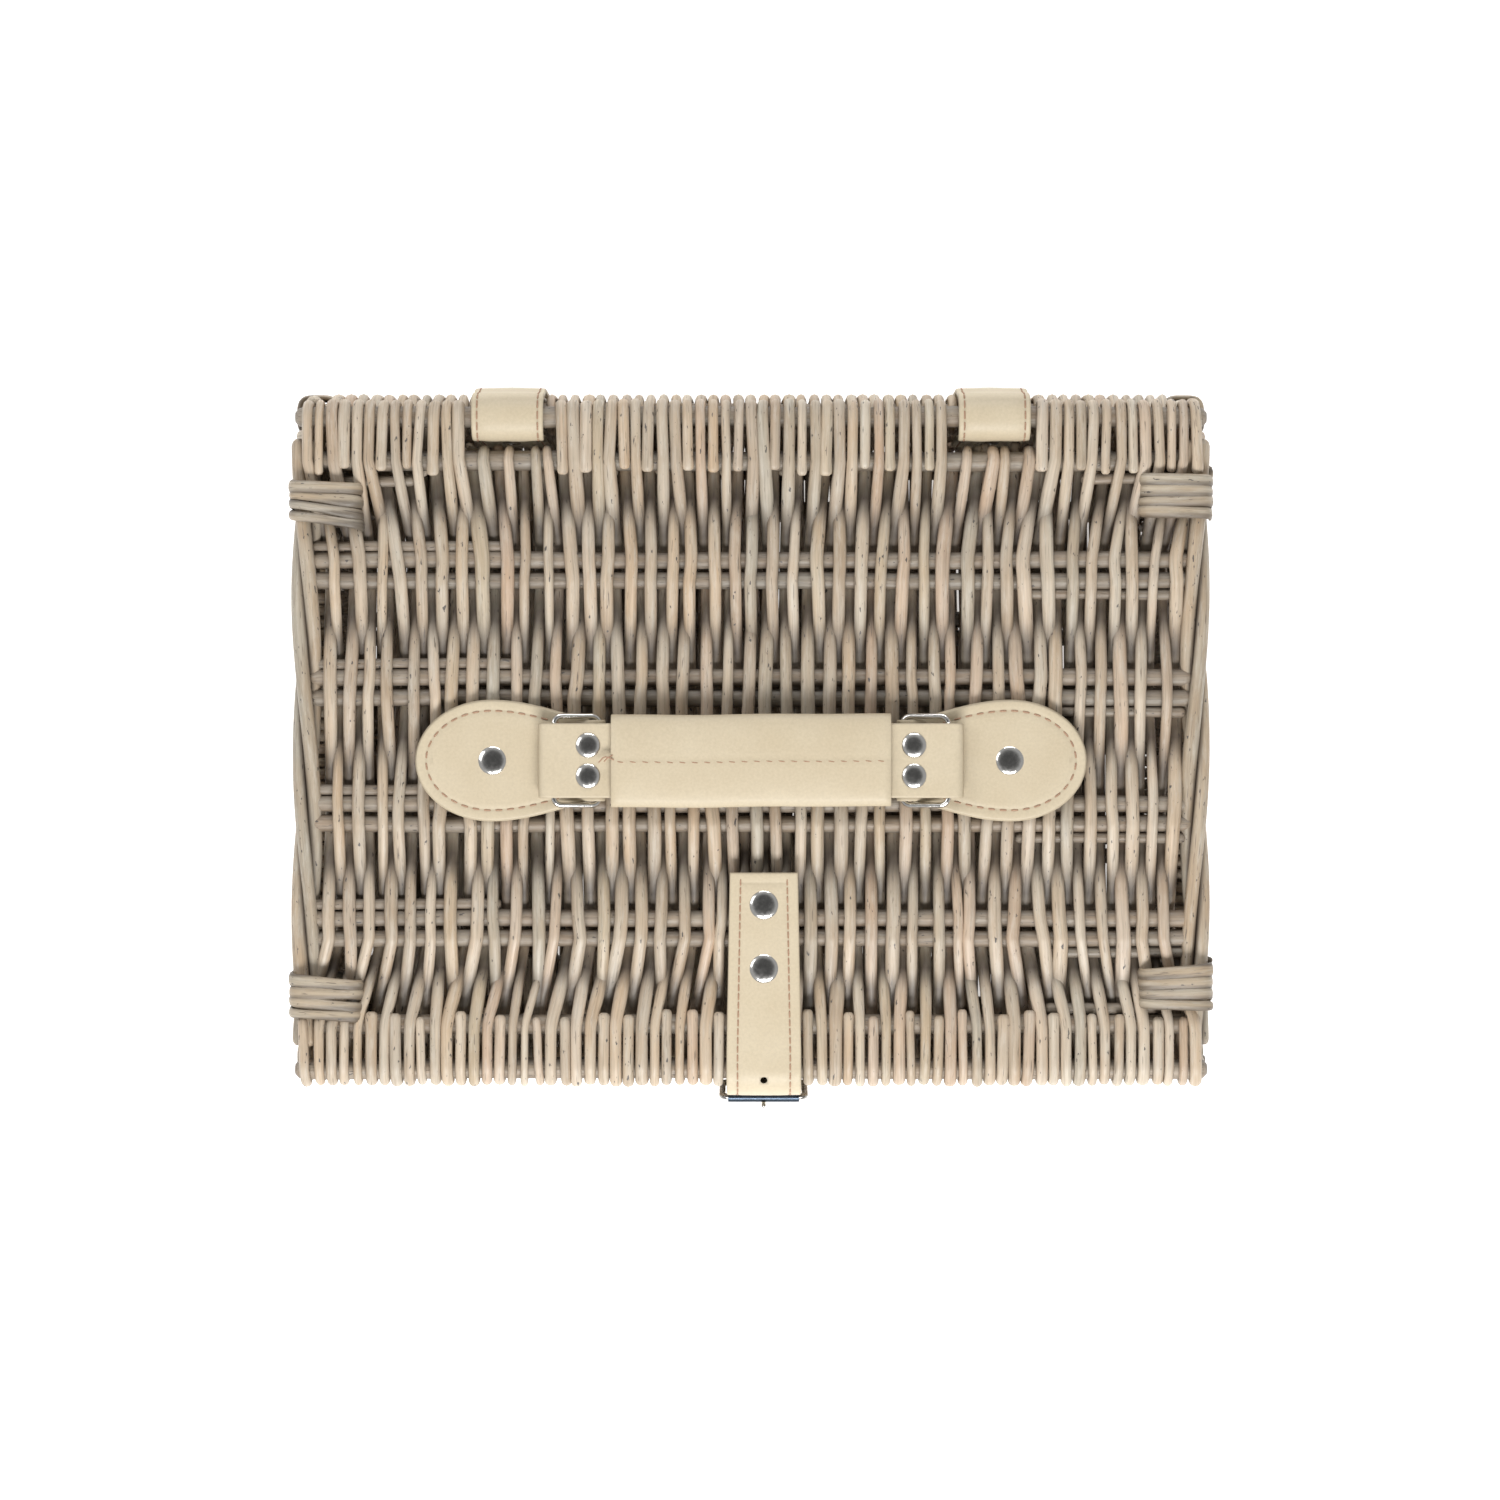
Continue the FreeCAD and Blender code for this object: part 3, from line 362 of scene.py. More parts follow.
def leather(name, tone, shade):
    """Smooth leather with a fine grain, faint clouding, darker cut edges and back, and painted shade in its
    grooves.
    """
    material, tree, shader = new_material(name)
    place = tree.object_place()
    cloud = tree.noise(place, 45.0, 4.0)
    colour = tree.ramp(cloud, [(0.30, shade), (0.70, tone)])
    fibre = tree.ramp(tree.noise(place, 900.0), [(0.3, 0.93), (0.7, 1.04)])
    colour = tree.mix(0.9, colour, fibre, "MULTIPLY")
    # Low depth darkens the colour: the cut edges and back are darker, and the dips along stitch lines, the
    # sleeve's seam and the inside of its ends get painted shade.
    colour = tree.mix(tree.attribute("depth"), tuple(part * 0.62 for part in shade), colour)
    tree.links.new(colour, shader.inputs["Base Color"])
    tree.links.new(tree.ramp(cloud, [(0.3, 0.46), (0.7, 0.56)]), shader.inputs["Roughness"])
    shader.inputs["Specular IOR Level"].default_value = 0.4
    cells = tree.nodes.new("ShaderNodeTexVoronoi")
    cells.feature = "SMOOTH_F1"
    cells.inputs["Scale"].default_value = 1500.0
    tree.links.new(place, cells.inputs["Vector"])
    tree.bump(shader, cells.outputs["Distance"], 0.22, 0.00012)
    return material


def metal(name, tone, roughness):
    """Polished metal with faint wear."""
    material, tree, shader = new_material(name)
    wear = tree.noise(tree.object_place(), 700.0, 4.0)
    dull = tuple(part * 0.9 for part in tone)
    tree.links.new(tree.ramp(wear, [(0.3, dull), (0.7, tone)]), shader.inputs["Base Color"])
    worn = tree.ramp(wear, [(0.35, roughness), (0.75, roughness * 1.9)])
    tree.links.new(worn, shader.inputs["Roughness"])
    shader.inputs["Metallic"].default_value = 1.0
    return material


def thread():
    """Brown twisted sewing thread."""
    material, tree, shader = new_material("stitch_thread")
    ply = tree.noise(tree.object_place(), 2500.0, 2.0)
    tone = tree.ramp(ply, [(0.3, (0.28, 0.16, 0.10)), (0.7, (0.42, 0.27, 0.18))])
    tree.links.new(tone, shader.inputs["Base Color"])
    shader.inputs["Roughness"].default_value = 0.75
    return material


WEAVER = willow("willow_weaver", [(0.43, 0.36, 0.25), (0.50, 0.38, 0.255), (0.36, 0.32, 0.245),
                                  (0.46, 0.32, 0.215), (0.57, 0.50, 0.39), (0.38, 0.30, 0.21),
                                  (0.52, 0.43, 0.32)])
ROD = willow("willow_stout_rod", [(0.33, 0.27, 0.195), (0.39, 0.305, 0.215), (0.29, 0.25, 0.19)])
WINDING = willow("willow_winding", [(0.36, 0.30, 0.21), (0.42, 0.335, 0.225), (0.31, 0.27, 0.205)])
BUNDLE = willow("willow_bundle", [(0.33, 0.275, 0.19), (0.39, 0.30, 0.20), (0.28, 0.25, 0.19)])
CREAM = leather("cream_leather", (0.535, 0.458, 0.330), (0.505, 0.425, 0.298))
THREAD = thread()
NICKEL = metal("polished_nickel", (0.76, 0.745, 0.715), 0.12)
# Painted reflection: the buckle's roller, frame and prong get dark base colours that stand in for the dark
# surroundings they mirror.
STEEL = metal("steel_painted_dark_reflection", (0.045, 0.06, 0.08), 0.24)
NICKEL_PAINTED_DARK = metal("nickel_painted_dark_reflection", (0.36, 0.35, 0.33), 0.2)
BUCKLE_FINISH = {"buckle_roller": STEEL, "buckle_frame": NICKEL_PAINTED_DARK, "buckle_prong": NICKEL_PAINTED_DARK}


# ---------------------------------------------------------------- woven panels
class Panel:
    """A woven sheet. u runs along its rods, v along its weavers, and w out of its better face.

    origin, u_way, v_way and w_way place it. groups are the rods that the weavers cross, from v high to v low,
    each a (v high, radius, v low, radius), the first and last of them the edges.
    """

    def __init__(self, name, body, origin, u_way, v_way, w_way, half_length, v_range, pairs,
                 windows=(), edge_half=None):
        self.name = name
        self.body = body
        self.origin = np.array(origin, float)
        self.axes = np.array([u_way, v_way, w_way], float)    # rows, so points @ axes leads to the world
        self.half_length = half_length
        self.edge_half = edge_half or half_length
        low, high = v_range
        self.groups = [(high - EDGE_INSET, EDGE_ROD, high - SECOND_INSET, SECOND_ROD)]
        self.groups += [(pair + PAIR_HALF_STEP, CORE_ROD, pair - PAIR_HALF_STEP, CORE_ROD) for pair in pairs]
        self.groups.append((low + SECOND_INSET, SECOND_ROD, low + EDGE_INSET, EDGE_ROD))
        self.windows = windows

    def world(self, points):
        return self.origin + np.asarray(points) @ self.axes

    def depth(self, points):
        """How far out a point stands: 1 on the faces and edges, 0 in the middle of the weave, where the
        willow gets painted shade.
        """
        local = (points - self.origin) @ self.axes.T
        out = np.abs(local[:, 2]) / HALF_PANEL
        top = self.groups[0][0]
        bottom = self.groups[-1][2]
        beyond = np.maximum(local[:, 1] - top, bottom - local[:, 1]) / EDGE_INSET
        return np.clip(np.maximum(out, np.clip(beyond, 0, 1) * 1.1), 0, 1)

    def in_window(self, u):
        """Whether a weaver at u would cover a hinge strap's bare stretch of the edge rod."""
        return any(abs(u - middle) < half for middle, half in self.windows)

    def strand_corners(self, face, wraps, top_slot, u, bottom_slot):
        """The corners (u, v, w, bend) of one weaver that starts on the given face of the first group."""
        corners = []
        sign = face
        last = len(self.groups) - 1
        jitter = rng.normal(0, STRAND_SWAY, len(self.groups) + 2)
        for index, (v_high, r_high, v_low, r_low) in enumerate(self.groups):
            slot = {0: top_slot, last: bottom_slot}.get(index, u + jitter[index])
            sink, rise = (0.0, 0.0) if index in (0, last) else (PAIR_SINK, PAIR_RISE)
            high = (slot, v_high, sign * (r_high + STRAND_THIN - sink), 3.0)
            low = (slot + jitter[index + 1] * 0.6, v_low, sign * (r_low + STRAND_THIN + rise), 1.0)
            if index == 0:
                corners += self.edge_turn(slot, sign, wraps[0], v_high, v_low, -1) + [low]
            elif index == last:
                corners += [high] + self.edge_turn(slot, sign, wraps[1], v_low, v_high, 1)
            else:
                corners += [high, low]
            sign = -sign
        return corners

    def edge_turn(self, slot, sign, wraps, outer, second, end):
        """The corners round an edge rod, in order along the weaver.

        end is -1 at the weaver's start and 1 at its finish. It wraps the edge, is tucked in behind the second
        rod, or turns round the second rod where a window leaves the edge bare.
        """
        way = -end                                   # the direction of v that leads out of the panel
        if wraps == "bare":
            turn = [(slot, second + way * (SECOND_REST - 0.8), 0.0, 3.0),
                    (slot, second + way * 2.0, -sign * SECOND_REST, 2.5),
                    (slot, second - way * 9.0, -sign * (SECOND_REST - 0.3), 1.0)]
        elif wraps == "tucked":
            turn = [(slot, second + way * rng.uniform(2.0, 7.0), sign * SECOND_REST, 1.0)]
        else:
            reach = EDGE_REST + rng.uniform(-1.3, -0.5)
            tail = second - way * rng.uniform(1.2, 4.6)
            lean = rng.normal(0, 0.45)
            turn = [(slot, outer, sign * EDGE_REST, 2.6)]
            turn += [(slot, outer + way * reach * math.sin(angle), sign * reach * math.cos(angle), 2.2)
                     for angle in (math.radians(52), math.radians(90), math.radians(128))]
            turn += [(slot + lean * 0.3, outer, -sign * EDGE_REST, 2.6),
                     (slot + lean, second, -sign * SECOND_REST, 2.0),
                     (slot + lean, tail, -sign * (SECOND_REST - 0.35), 1.0)]
        return turn[::-1] if end < 0 else turn

    def weave(self, nodes, pitch=STRAND_PITCH, sides=10, step=4.5):
        """Both sets of weavers, one mesh each."""
        per_set = int(2 * self.half_length / pitch)
        wrapped = int(2 * self.edge_half / SLOT_PITCH)
        regular = (np.arange(2 * per_set) + 0.5) / (2 * per_set)
        regular = (regular * 2 - 1) * (self.half_length - STRAND_WIDE)
        tops = self.edge_slots(regular, per_set, wrapped, 0)
        bottoms = self.edge_slots(regular, per_set, wrapped, 1)
        for which in (0, 1):
            batch = Batch()
            face = 1 if which == 0 else -1
            for index in range(which, 2 * per_set, 2):
                self.add_strand(batch, face, regular[index], tops[index], bottoms[index], sides, step)
            kept = nodes if which == 0 else ()
            batch.build(f"{self.name}_weavers_{'ab'[which]}", WEAVER, self.body, kept)

    def edge_slots(self, regular, per_set, wrapped, which):
        """For each weaver, its place along the edge and how it ends there."""
        spare = wrapped - per_set
        chosen = set(np.round(np.linspace(0, per_set - 1, spare) + rng.uniform(-0.3, 0.3, spare)).astype(int))
        full = [index % 2 == which or index // 2 in chosen for index in range(len(regular))]
        spread = (np.arange(sum(full)) + 0.5) / sum(full) * 2 - 1
        places = iter(spread * (self.edge_half - STRAND_WIDE * 0.4))
        slots = []
        for index, whole in enumerate(full):
            place = next(places) + rng.normal(0, 0.12) if whole else regular[index]
            if which == 0 and self.in_window(place):
                slots.append((place, "bare" if index % 2 == 0 else "tucked"))
            else:
                slots.append((place, "wrapped" if whole else "tucked"))
        return slots

    def add_strand(self, batch, face, u, top, bottom, sides, step):
        """One weaver; top and bottom are its (place, ending) at the two edges."""
        corners = self.strand_corners(face, (top[1], bottom[1]), top[0], u, bottom[0])
        bend = [corner[3] for corner in corners]
        line = rounded_line([corner[:3] for corner in corners], bend, step)
        line[:, 0] += smooth_noise(len(line), 0.28, 9)
        grow = rng.normal(1.0, 0.085)
        thick_end, thin_end = (1.06, 0.92) if rng.random() < 0.5 else (0.92, 1.06)
        taper = np.linspace(thick_end, thin_end, len(line))
        at_edge = np.maximum(line[:, 1] - self.groups[0][2], self.groups[-1][0] - line[:, 1]) > -2.0
        squeeze = np.pad(np.where(at_edge, 0.87, 1.0), 2, mode="edge")
        narrow = np.convolve(squeeze, np.ones(5) / 5, mode="valid")
        wide = STRAND_WIDE * grow * taper * narrow * (1 + smooth_noise(len(line), 0.05, 12))
        thin = STRAND_THIN * (0.97 + smooth_noise(len(line), 0.03, 12))
        tube(batch, self.world(line), self.axes[0], wide, thin, sides, depth=self.depth)

    def rods(self, nodes_by_kind, overhang):
        """The rods that the weavers cross. nodes_by_kind gives the CAD nodes that each mesh stands for."""
        lines = {"edge": [], "core": []}
        for index, (v_high, r_high, v_low, r_low) in enumerate(self.groups):
            for v, radius in ((v_high, r_high), (v_low, r_low)):
                kind = "edge" if index in (0, len(self.groups) - 1) else "core"
                lines[kind].append((v, radius))
        for kind, spots in lines.items():
            batch = Batch()
            for v, radius in spots:
                longer = overhang if radius == EDGE_ROD else 0.0
                self.add_rod(batch, v, 0.0, -self.half_length - longer, self.half_length + longer, radius)
            batch.build(f"{self.name}_{kind}_bars", ROD, self.body, nodes_by_kind.get(kind, ()))

    def add_rod(self, batch, v, w, low, high, radius, sides=14):
        count = max(8, int((high - low) / 5))
        u = np.linspace(low, high, count)
        line = np.stack([u, v + smooth_noise(count, 0.22, 8), w + smooth_noise(count, 0.15, 8)], axis=1)
        size = radius * (0.985 + np.clip(smooth_noise(count, 0.03, 16), -0.05, 0.03))
        tube(batch, self.world(line), self.axes[1], size, size, sides, depth=self.rod_painted_shade)

    def rod_painted_shade(self, points):
        """Painted shade: rods lie in the middle of the weave, so they stay dark."""
        local = (points - self.origin) @ self.axes.T
        return np.clip(0.13 + 0.20 * np.abs(local[:, 2]) / EDGE_ROD, 0, 1)


def make_lid_panel():
    """The lid's weave, with a bare window in its back edge for each hinge strap."""
    hinge_x = node_middle("hinge_strap_right")[0]
    window_half = 17.0
    half_width = (LID_HIGH[1] - LID_LOW[1]) / 2
    pairs = [67.4, 21.5, -27.8, -72.6]
    windows = [(-hinge_x, window_half), (hinge_x, window_half)]
    panel = Panel("lid", "lid", (0, LID_CENTRE, LID_MIDDLE), (1, 0, 0), (0, 1, 0), (0, 0, 1),
                  LID_HIGH[0] + 1.0, (-half_width, half_width), pairs, windows, LID_HIGH[0] + 8.5)
    panel.weave(("lid_weave",), sides=12, step=3.6)
    panel.rods({"edge": ("lid_hinge_rod", "lid_edge_rods"), "core": ("lid_core_rods",)}, 5.0)
    add_tucked_rods(panel, pairs)


def add_tucked_rods(panel, pairs):
    """The short ends of thin rods that are tucked in beside the pairs and by the edges."""
    thin = 2.2
    beside = 9.4
    tucked = Batch()
    for pair in pairs:
        panel.add_rod(tucked, pair + beside, 0.4, -170, -rng.uniform(88, 108), thin, 10)
        panel.add_rod(tucked, pair - beside, 0.4, rng.uniform(103, 128), 168, thin, 10)
    for v, low, high in ((102.2, -163, -133), (103.3, 131, 165), (-104.2, 117, 160)):
        panel.add_rod(tucked, v, 0.8, low, high, thin, 10)
    tucked.build("lid_tucked_rod_ends", ROD, "lid")


def rope(batch, start, end, side, radius, spread, turns, strands, phase):
    """Rods twisted slowly round each other from start to end."""
    start, end = np.array(start, float), np.array(end, float)
    heading = unit((end - start)[None])[0]
    across = np.array(side, float)
    normal = np.cross(heading, across)
    part = np.linspace(0, 1, 60)
    for strand in range(strands):
        angle = 2 * math.pi * (turns * part + strand / strands) + phase
        line = start + (end - start) * part[:, None]
        line = line + np.cos(angle)[:, None] * across * spread + np.sin(angle)[:, None] * normal * spread
        size = radius * (1 + smooth_noise(len(part), 0.04, 9)) * rng.uniform(0.93, 1.07)
        tube(batch, line, across, size, size, 12,
             depth=lambda points: rope_painted_shade(points, start, heading, radius + spread))


def rope_painted_shade(points, start, heading, reach):
    """How far out of a twisted bundle a point stands, so that painted shade keeps the seams between its rods
    dark.
    """
    off = points - start
    off = off - (off @ heading)[:, None] * heading
    return np.clip((np.linalg.norm(off, axis=1) / reach - 0.42) * 1.3, 0.02, 1)


def winding(batch, centre, u_way, v_way, w_way, half_u, half_w, width, lean):
    """Turns of split willow wound round a bundle: each turn a flat loop with rounded corners."""
    centre = np.array(centre, float)
    u_way, v_way, w_way = (np.array(way, float) for way in (u_way, v_way, w_way))
    turns = 4
    angles = np.linspace(0, 2 * math.pi, 44)
    square = [squared_ellipse(angle, half_u, half_w) for angle in angles]
    climb = (angles / (2 * math.pi) - 0.5) * width * 0.9
    for turn in range(turns):
        shift = (turn - (turns - 1) / 2) * width
        lean_now = lean + rng.normal(0, 0.5)
        line = []
        for (u, w), rise in zip(square, climb):
            drift = shift + rise + lean_now * u / half_u
            line.append(centre + u_way * u + w_way * w + v_way * drift)
        wide = width * 0.56 * (1 + smooth_noise(len(line), 0.16, 7))
        thin = 1.1 * (1 + smooth_noise(len(line), 0.18, 7))
        tube(batch, line, v_way, wide, thin, 10,
             depth=lambda points: winding_painted_shade(points, centre, v_way, width, shift))


def winding_painted_shade(points, centre, v_way, width, shift):
    """Painted shade: bright along the middle of a turn and dark towards its neighbours."""
    off = np.abs((points - centre) @ v_way - shift) / width
    return np.clip(0.62 - 0.9 * off, 0.1, 1)


def squared_ellipse(angle, half_u, half_w):
    """A point on an ellipse with squared sides, by its angle."""
    c, s = math.cos(angle), math.sin(angle)
    size = (abs(c) ** WINDING_POWER + abs(s) ** WINDING_POWER) ** (-1 / WINDING_POWER)
    return half_u * size * c, half_w * size * s


def make_lid_sides():
    """The twisted rods along the lid's short edges, and the lashings that hold them."""
    half_reach = 116
    side_rods = Batch()
    for way in (-1, 1):
        x = way * (LID_HIGH[0] + 5.2)
        phase = rng.uniform(0, 6)
        rope(side_rods, (x, LID_CENTRE - half_reach, LID_MIDDLE), (x, LID_CENTRE + half_reach, LID_MIDDLE),
             (1, 0, 0), 2.75, 3.1, 1.25 * way, 3, phase)
    side_rods.build("lid_side_twist", BUNDLE, "lid", ("lid_side_rods",))
    low, high = node_box("lid_lashings")
    inner = 151.5
    skin = 0.9
    half_u = (high[0] - inner) / 2 - skin
    half_w = (high[2] - low[2]) / 2 - skin
    lashings = Batch()
    for way, v, lean in ((-1, 94.0, -0.8), (1, 97.0, 0.6), (-1, -99.0, -0.7), (1, -95.0, 0.9)):
        centre = (way * (inner + high[0]) / 2, LID_CENTRE + v, (low[2] + high[2]) / 2)
        winding(lashings, centre, (1, 0, 0), (0, 1, 0), (0, 0, 1), half_u, half_w, 4.15, lean)
    lashings.build("lid_corner_windings", WINDING, "lid", ("lid_lashings",))


def make_body_panels():
    """The four woven walls and the woven base."""
    wall_low, wall_high = node_box("back_wall_weave")
    side_half = node_box("right_wall_weave")[1][1]
    wall_line, middle_z = node_middle("back_wall_weave")[1:]
    side_line = node_middle("right_wall_weave")[0]
    half_height = (wall_high[2] - wall_low[2]) / 2
    walls = (
        ("back_wall", (0, wall_line, middle_z), (-1, 0, 0), (0, 1, 0), wall_high[0]),
        ("front_wall", (0, -wall_line, middle_z), (1, 0, 0), (0, -1, 0), wall_high[0]),
        ("left_wall", (-side_line, 0, middle_z), (0, -1, 0), (-1, 0, 0), side_half),
        ("right_wall", (side_line, 0, middle_z), (0, 1, 0), (1, 0, 0), side_half),
    )
    for name, origin, u_way, w_way, half in walls:
        panel = Panel(name, "basket", origin, u_way, (0, 0, 1), w_way, half + 2.5,
                      (-half_height, half_height), [0.0])
        panel.weave((f"{name}_weave",), pitch=7.8, sides=8, step=5.0)
        panel.rods({"edge": (f"{name}_rods",)}, 0.0)
    low, high = node_box("base_weave")
    base = Panel("base", "basket", (0, 0, node_middle("base_weave")[2]), (1, 0, 0), (0, 1, 0), (0, 0, 1),
                 high[0] + 3.0, (low[1] - 2.0, high[1] + 2.0), [46.0, 0.0, -46.0])
    base.weave(("base_weave",), pitch=7.3, sides=8, step=6.0)
    base.rods({"edge": ("base_rods",)}, 0.0)


def make_corners():
    """Each corner post is a bundle of four rods, with a winding near its foot and one near its top."""
    high = node_box("corner_posts")[1]
    ring_low, ring_high = node_box("corner_lashings")
    post_inset = 5.5
    half_ring = 7.4
    levels = (ring_low[2] + 9, ring_high[2] - 9)
    posts = Batch()
    windings = Batch()
    for x_way in (-1, 1):
        for y_way in (-1, 1):
            x = x_way * (high[0] - post_inset)
            y = y_way * (high[1] - post_inset)
            rope(posts, (x, y, 3.4), (x, y, high[2] - 3.0), (1, 0, 0), 3.1, 3.5, 0.7 * x_way * y_way, 4, 1.3)
            for level in levels:
                winding(windings, (x, y, level), (1, 0, 0), (0, 0, 1), (0, 1, 0),
                        half_ring, half_ring, 4.4, 0.0)
    posts.build("corner_post_bundles", WEAVER, "basket", ("corner_posts",))
    windings.build("corner_windings", WINDING, "basket", ("corner_lashings",))


# ---------------------------------------------------------------- leather
class Lay:
    """Maps flat leather onto the object: s along a line, t across it and h out of its face."""

    def __init__(self, line, side):
        self.line = np.asarray(line, float)
        self.side = np.array(side, float)
        self.run = run_along(self.line)
        self.tangent = unit(np.gradient(self.line, axis=0))
        self.normal = np.cross(np.broadcast_to(self.side, self.tangent.shape), self.tangent)

    @property
    def length(self):
        return self.run[-1]

    def world(self, s, t, h):
        """The place of (s, t, h); past either end the line goes straight on."""
        s = np.asarray(s, float)
        spot = np.stack([np.interp(s, self.run, self.line[:, axis]) for axis in range(3)], axis=-1)
        beyond = np.where(s < 0, s, np.where(s > self.length, s - self.length, 0.0))
        ends = np.where((s < 0)[..., None], self.tangent[0], self.tangent[-1])
        spot = spot + ends * beyond[..., None]
        out = np.stack([np.interp(s, self.run, self.normal[:, axis]) for axis in range(3)], axis=-1)
        return spot + np.asarray(t)[..., None] * self.side + np.asarray(h)[..., None] * unit(out)


def strip_outline(length, half_width, step=2.2):
    """The outline of a strip as (s, t), from the middle of its first end round to that middle again."""
    count = max(4, int(length / step))
    s = np.linspace(0, length, count)
    width = half_width(s) if callable(half_width) else np.full(count, half_width)
    lower = np.stack([s, -width], axis=1)
    upper = np.stack([s[::-1], width[::-1]], axis=1)
    across = 8
    end = np.stack([np.full(across, length), np.linspace(-width[-1], width[-1], across + 2)[1:-1]], axis=1)
    start = np.stack([np.zeros(across), np.linspace(width[0], -width[0], across + 2)[1:-1]], axis=1)
    return np.concatenate([start[across // 2:], lower, end, upper, start[:across // 2]])


def strip_inset(length, half_width):
    """Returns a function that moves a strip's outline inwards without letting its corners cross."""
    def move(outline, amount):
        s = np.clip(outline[:, 0], amount, length - amount)
        width = half_width(s) if callable(half_width) else half_width
        room = np.maximum(width - amount, 0.2)
        return np.stack([s, np.clip(outline[:, 1], -room, room)], axis=1)
    return move


def smooth_inset(outline, amount):
    """Moves a closed outline inwards along its own normals, with its first end kept straight."""
    first = unit(outline - np.roll(outline, 1, axis=0))
    second = unit(np.roll(outline, -1, axis=0) - outline)
    both = np.stack([-first[:, 1] - second[:, 1], first[:, 0] + second[:, 0]], axis=1)
    scale = 2 / np.maximum(np.sum(both * both, axis=1), 0.6)
    moved = outline + both * scale[:, None] * amount
    moved[:, 0] = np.maximum(moved[:, 0], outline[:, 0].min() + amount)
    return moved


def plate(batch, lay, outline, thickness, inset, profile_end=6.5, stitch=None, crown=0.25):
    """Leather cut to an outline (anticlockwise), with rounded edges and a dip along its stitch line.

    profile is the section near the edge, from the back to the face: (inwards, height, shade). The inner part
    is filled by rows that lead to the outline's middle line.
    """
    half = thickness / 2
    profile = [(0.30, -half, 0.55), (0.0, -half * 0.55, 0.35), (0.0, half * 0.5, 0.5),
               (0.35, half * 0.95, 0.9), (0.9, half + crown * 0.10, 1.0)]
    if stitch:
        # The dip along the stitch line gets painted shade.
        profile += [(stitch - 0.75, half + crown * 0.30, 1.0), (stitch, half + crown * 0.22 - 0.28, 0.72),
                    (stitch + 0.75, half + crown * 0.42, 1.0)]
    profile.append((profile_end, half + crown * 0.7, 1.0))
    rings = [inset(outline, amount) for amount, _, _ in profile]
    heights = [height for _, height, _ in profile]
    shades = [shade for _, _, shade in profile]
    last = rings[-1]
    low, high = outline.min(axis=0), outline.max(axis=0)
    spine = np.clip(last[:, 0], low[0] + profile_end, high[0] - profile_end)
    medial = np.stack([spine, np.full(len(outline), (low[1] + high[1]) / 2)], axis=1)
    for part in (0.4, 0.75):
        rings.append(last + (medial - last) * part)
        heights.append(half + crown * (0.7 + 0.3 * part))
        shades.append(1.0)
    count = len(outline)
    points = [lay.world(ring[:, 0], ring[:, 1], np.full(count, height))
              for ring, height in zip(rings, heights)]
    faces = ring_faces(len(rings), count)
    faces += spine_faces(count, (len(rings) - 1) * count, True) + spine_faces(count, 0, False)
    batch.add(np.concatenate(points), faces, 0.5, np.repeat(shades, count))


def strip(batch, lay, half_width, thickness, step=2.2, **shape):
    """A straight-sided or tapering strip of leather along the whole of a lay."""
    outline = strip_outline(lay.length, half_width, step)
    plate(batch, lay, outline, thickness, strip_inset(lay.length, half_width), **shape)


def spine_faces(count, start, upward):
    """Fills a long closed ring with cross rungs between its two sides."""
    faces = []
    low, high = 0, count - 1
    while high - low > 1:
        rung = (low, low + 1, high) if low + 1 == high - 1 else (low, low + 1, high - 1, high)
        faces.append(tuple(start + index for index in (rung if upward else rung[::-1])))
        low, high = low + 1, high - 1
    return faces


def stitches(batch, lay, route, pitch, height, radius=0.33, length=0.62, slant=0.0):
    """Thread along a route of (s, t) points: short rounded stitches at an even pitch."""
    route = np.asarray(route, float)
    run = run_along(route)
    count = max(1, int(run[-1] / pitch))
    spread = np.linspace(-0.5, 0.5, 5)
    for index in range(count):
        middle = (index + 0.5) / count * run[-1]
        part = spread * pitch * length
        s = np.interp(middle + part, run, route[:, 0])
        t = np.interp(middle + part, run, route[:, 1]) + slant * part
        h = height + 0.16 * (1 - (2 * spread) ** 2) - 0.14
        line = lay.world(s, t, h)
        tube(batch, line, lay.side if slant else np.array([0.3, 0.5, 0.2]), radius, radius, 6)


def strap(name, body, lay, half_width, nodes, stitch, pitch, crown, plain_end=0):
    """A strip with stitches inside each long edge, except along its plain end. Returns the leather."""
    batch = Batch()
    strip(batch, lay, half_width, STRAP_LEATHER, stitch=stitch, crown=crown)
    piece = batch.build(name, CREAM, body, nodes)
    sewn = Batch()
    for way in (-1, 1):
        s = np.linspace(2.2, lay.length - 2.2 - plain_end, 60)
        route = np.stack([s, np.full(60, way * (half_width - stitch))], axis=1)
        stitches(sewn, lay, route, pitch, STRAP_LEATHER / 2 - 0.02)
    sewn.build(f"{name}_thread", THREAD, body)
    return piece


def arc(centre, radius, start, end, count):
    """Points (a, b) on an arc, angles in degrees."""
    angles = np.radians(np.linspace(start, end, count))
    return np.stack([centre[0] + radius * np.cos(angles), centre[1] + radius * np.sin(angles)], axis=1)


def in_plane(points, axes, fixed):
    """Lifts (a, b) points into space: axes names the two coordinates, and fixed gives the third."""
    result = np.full((len(points), 3), float(fixed))
    result[:, axes[0]] = points[:, 0]
    result[:, axes[1]] = points[:, 1]
    return result


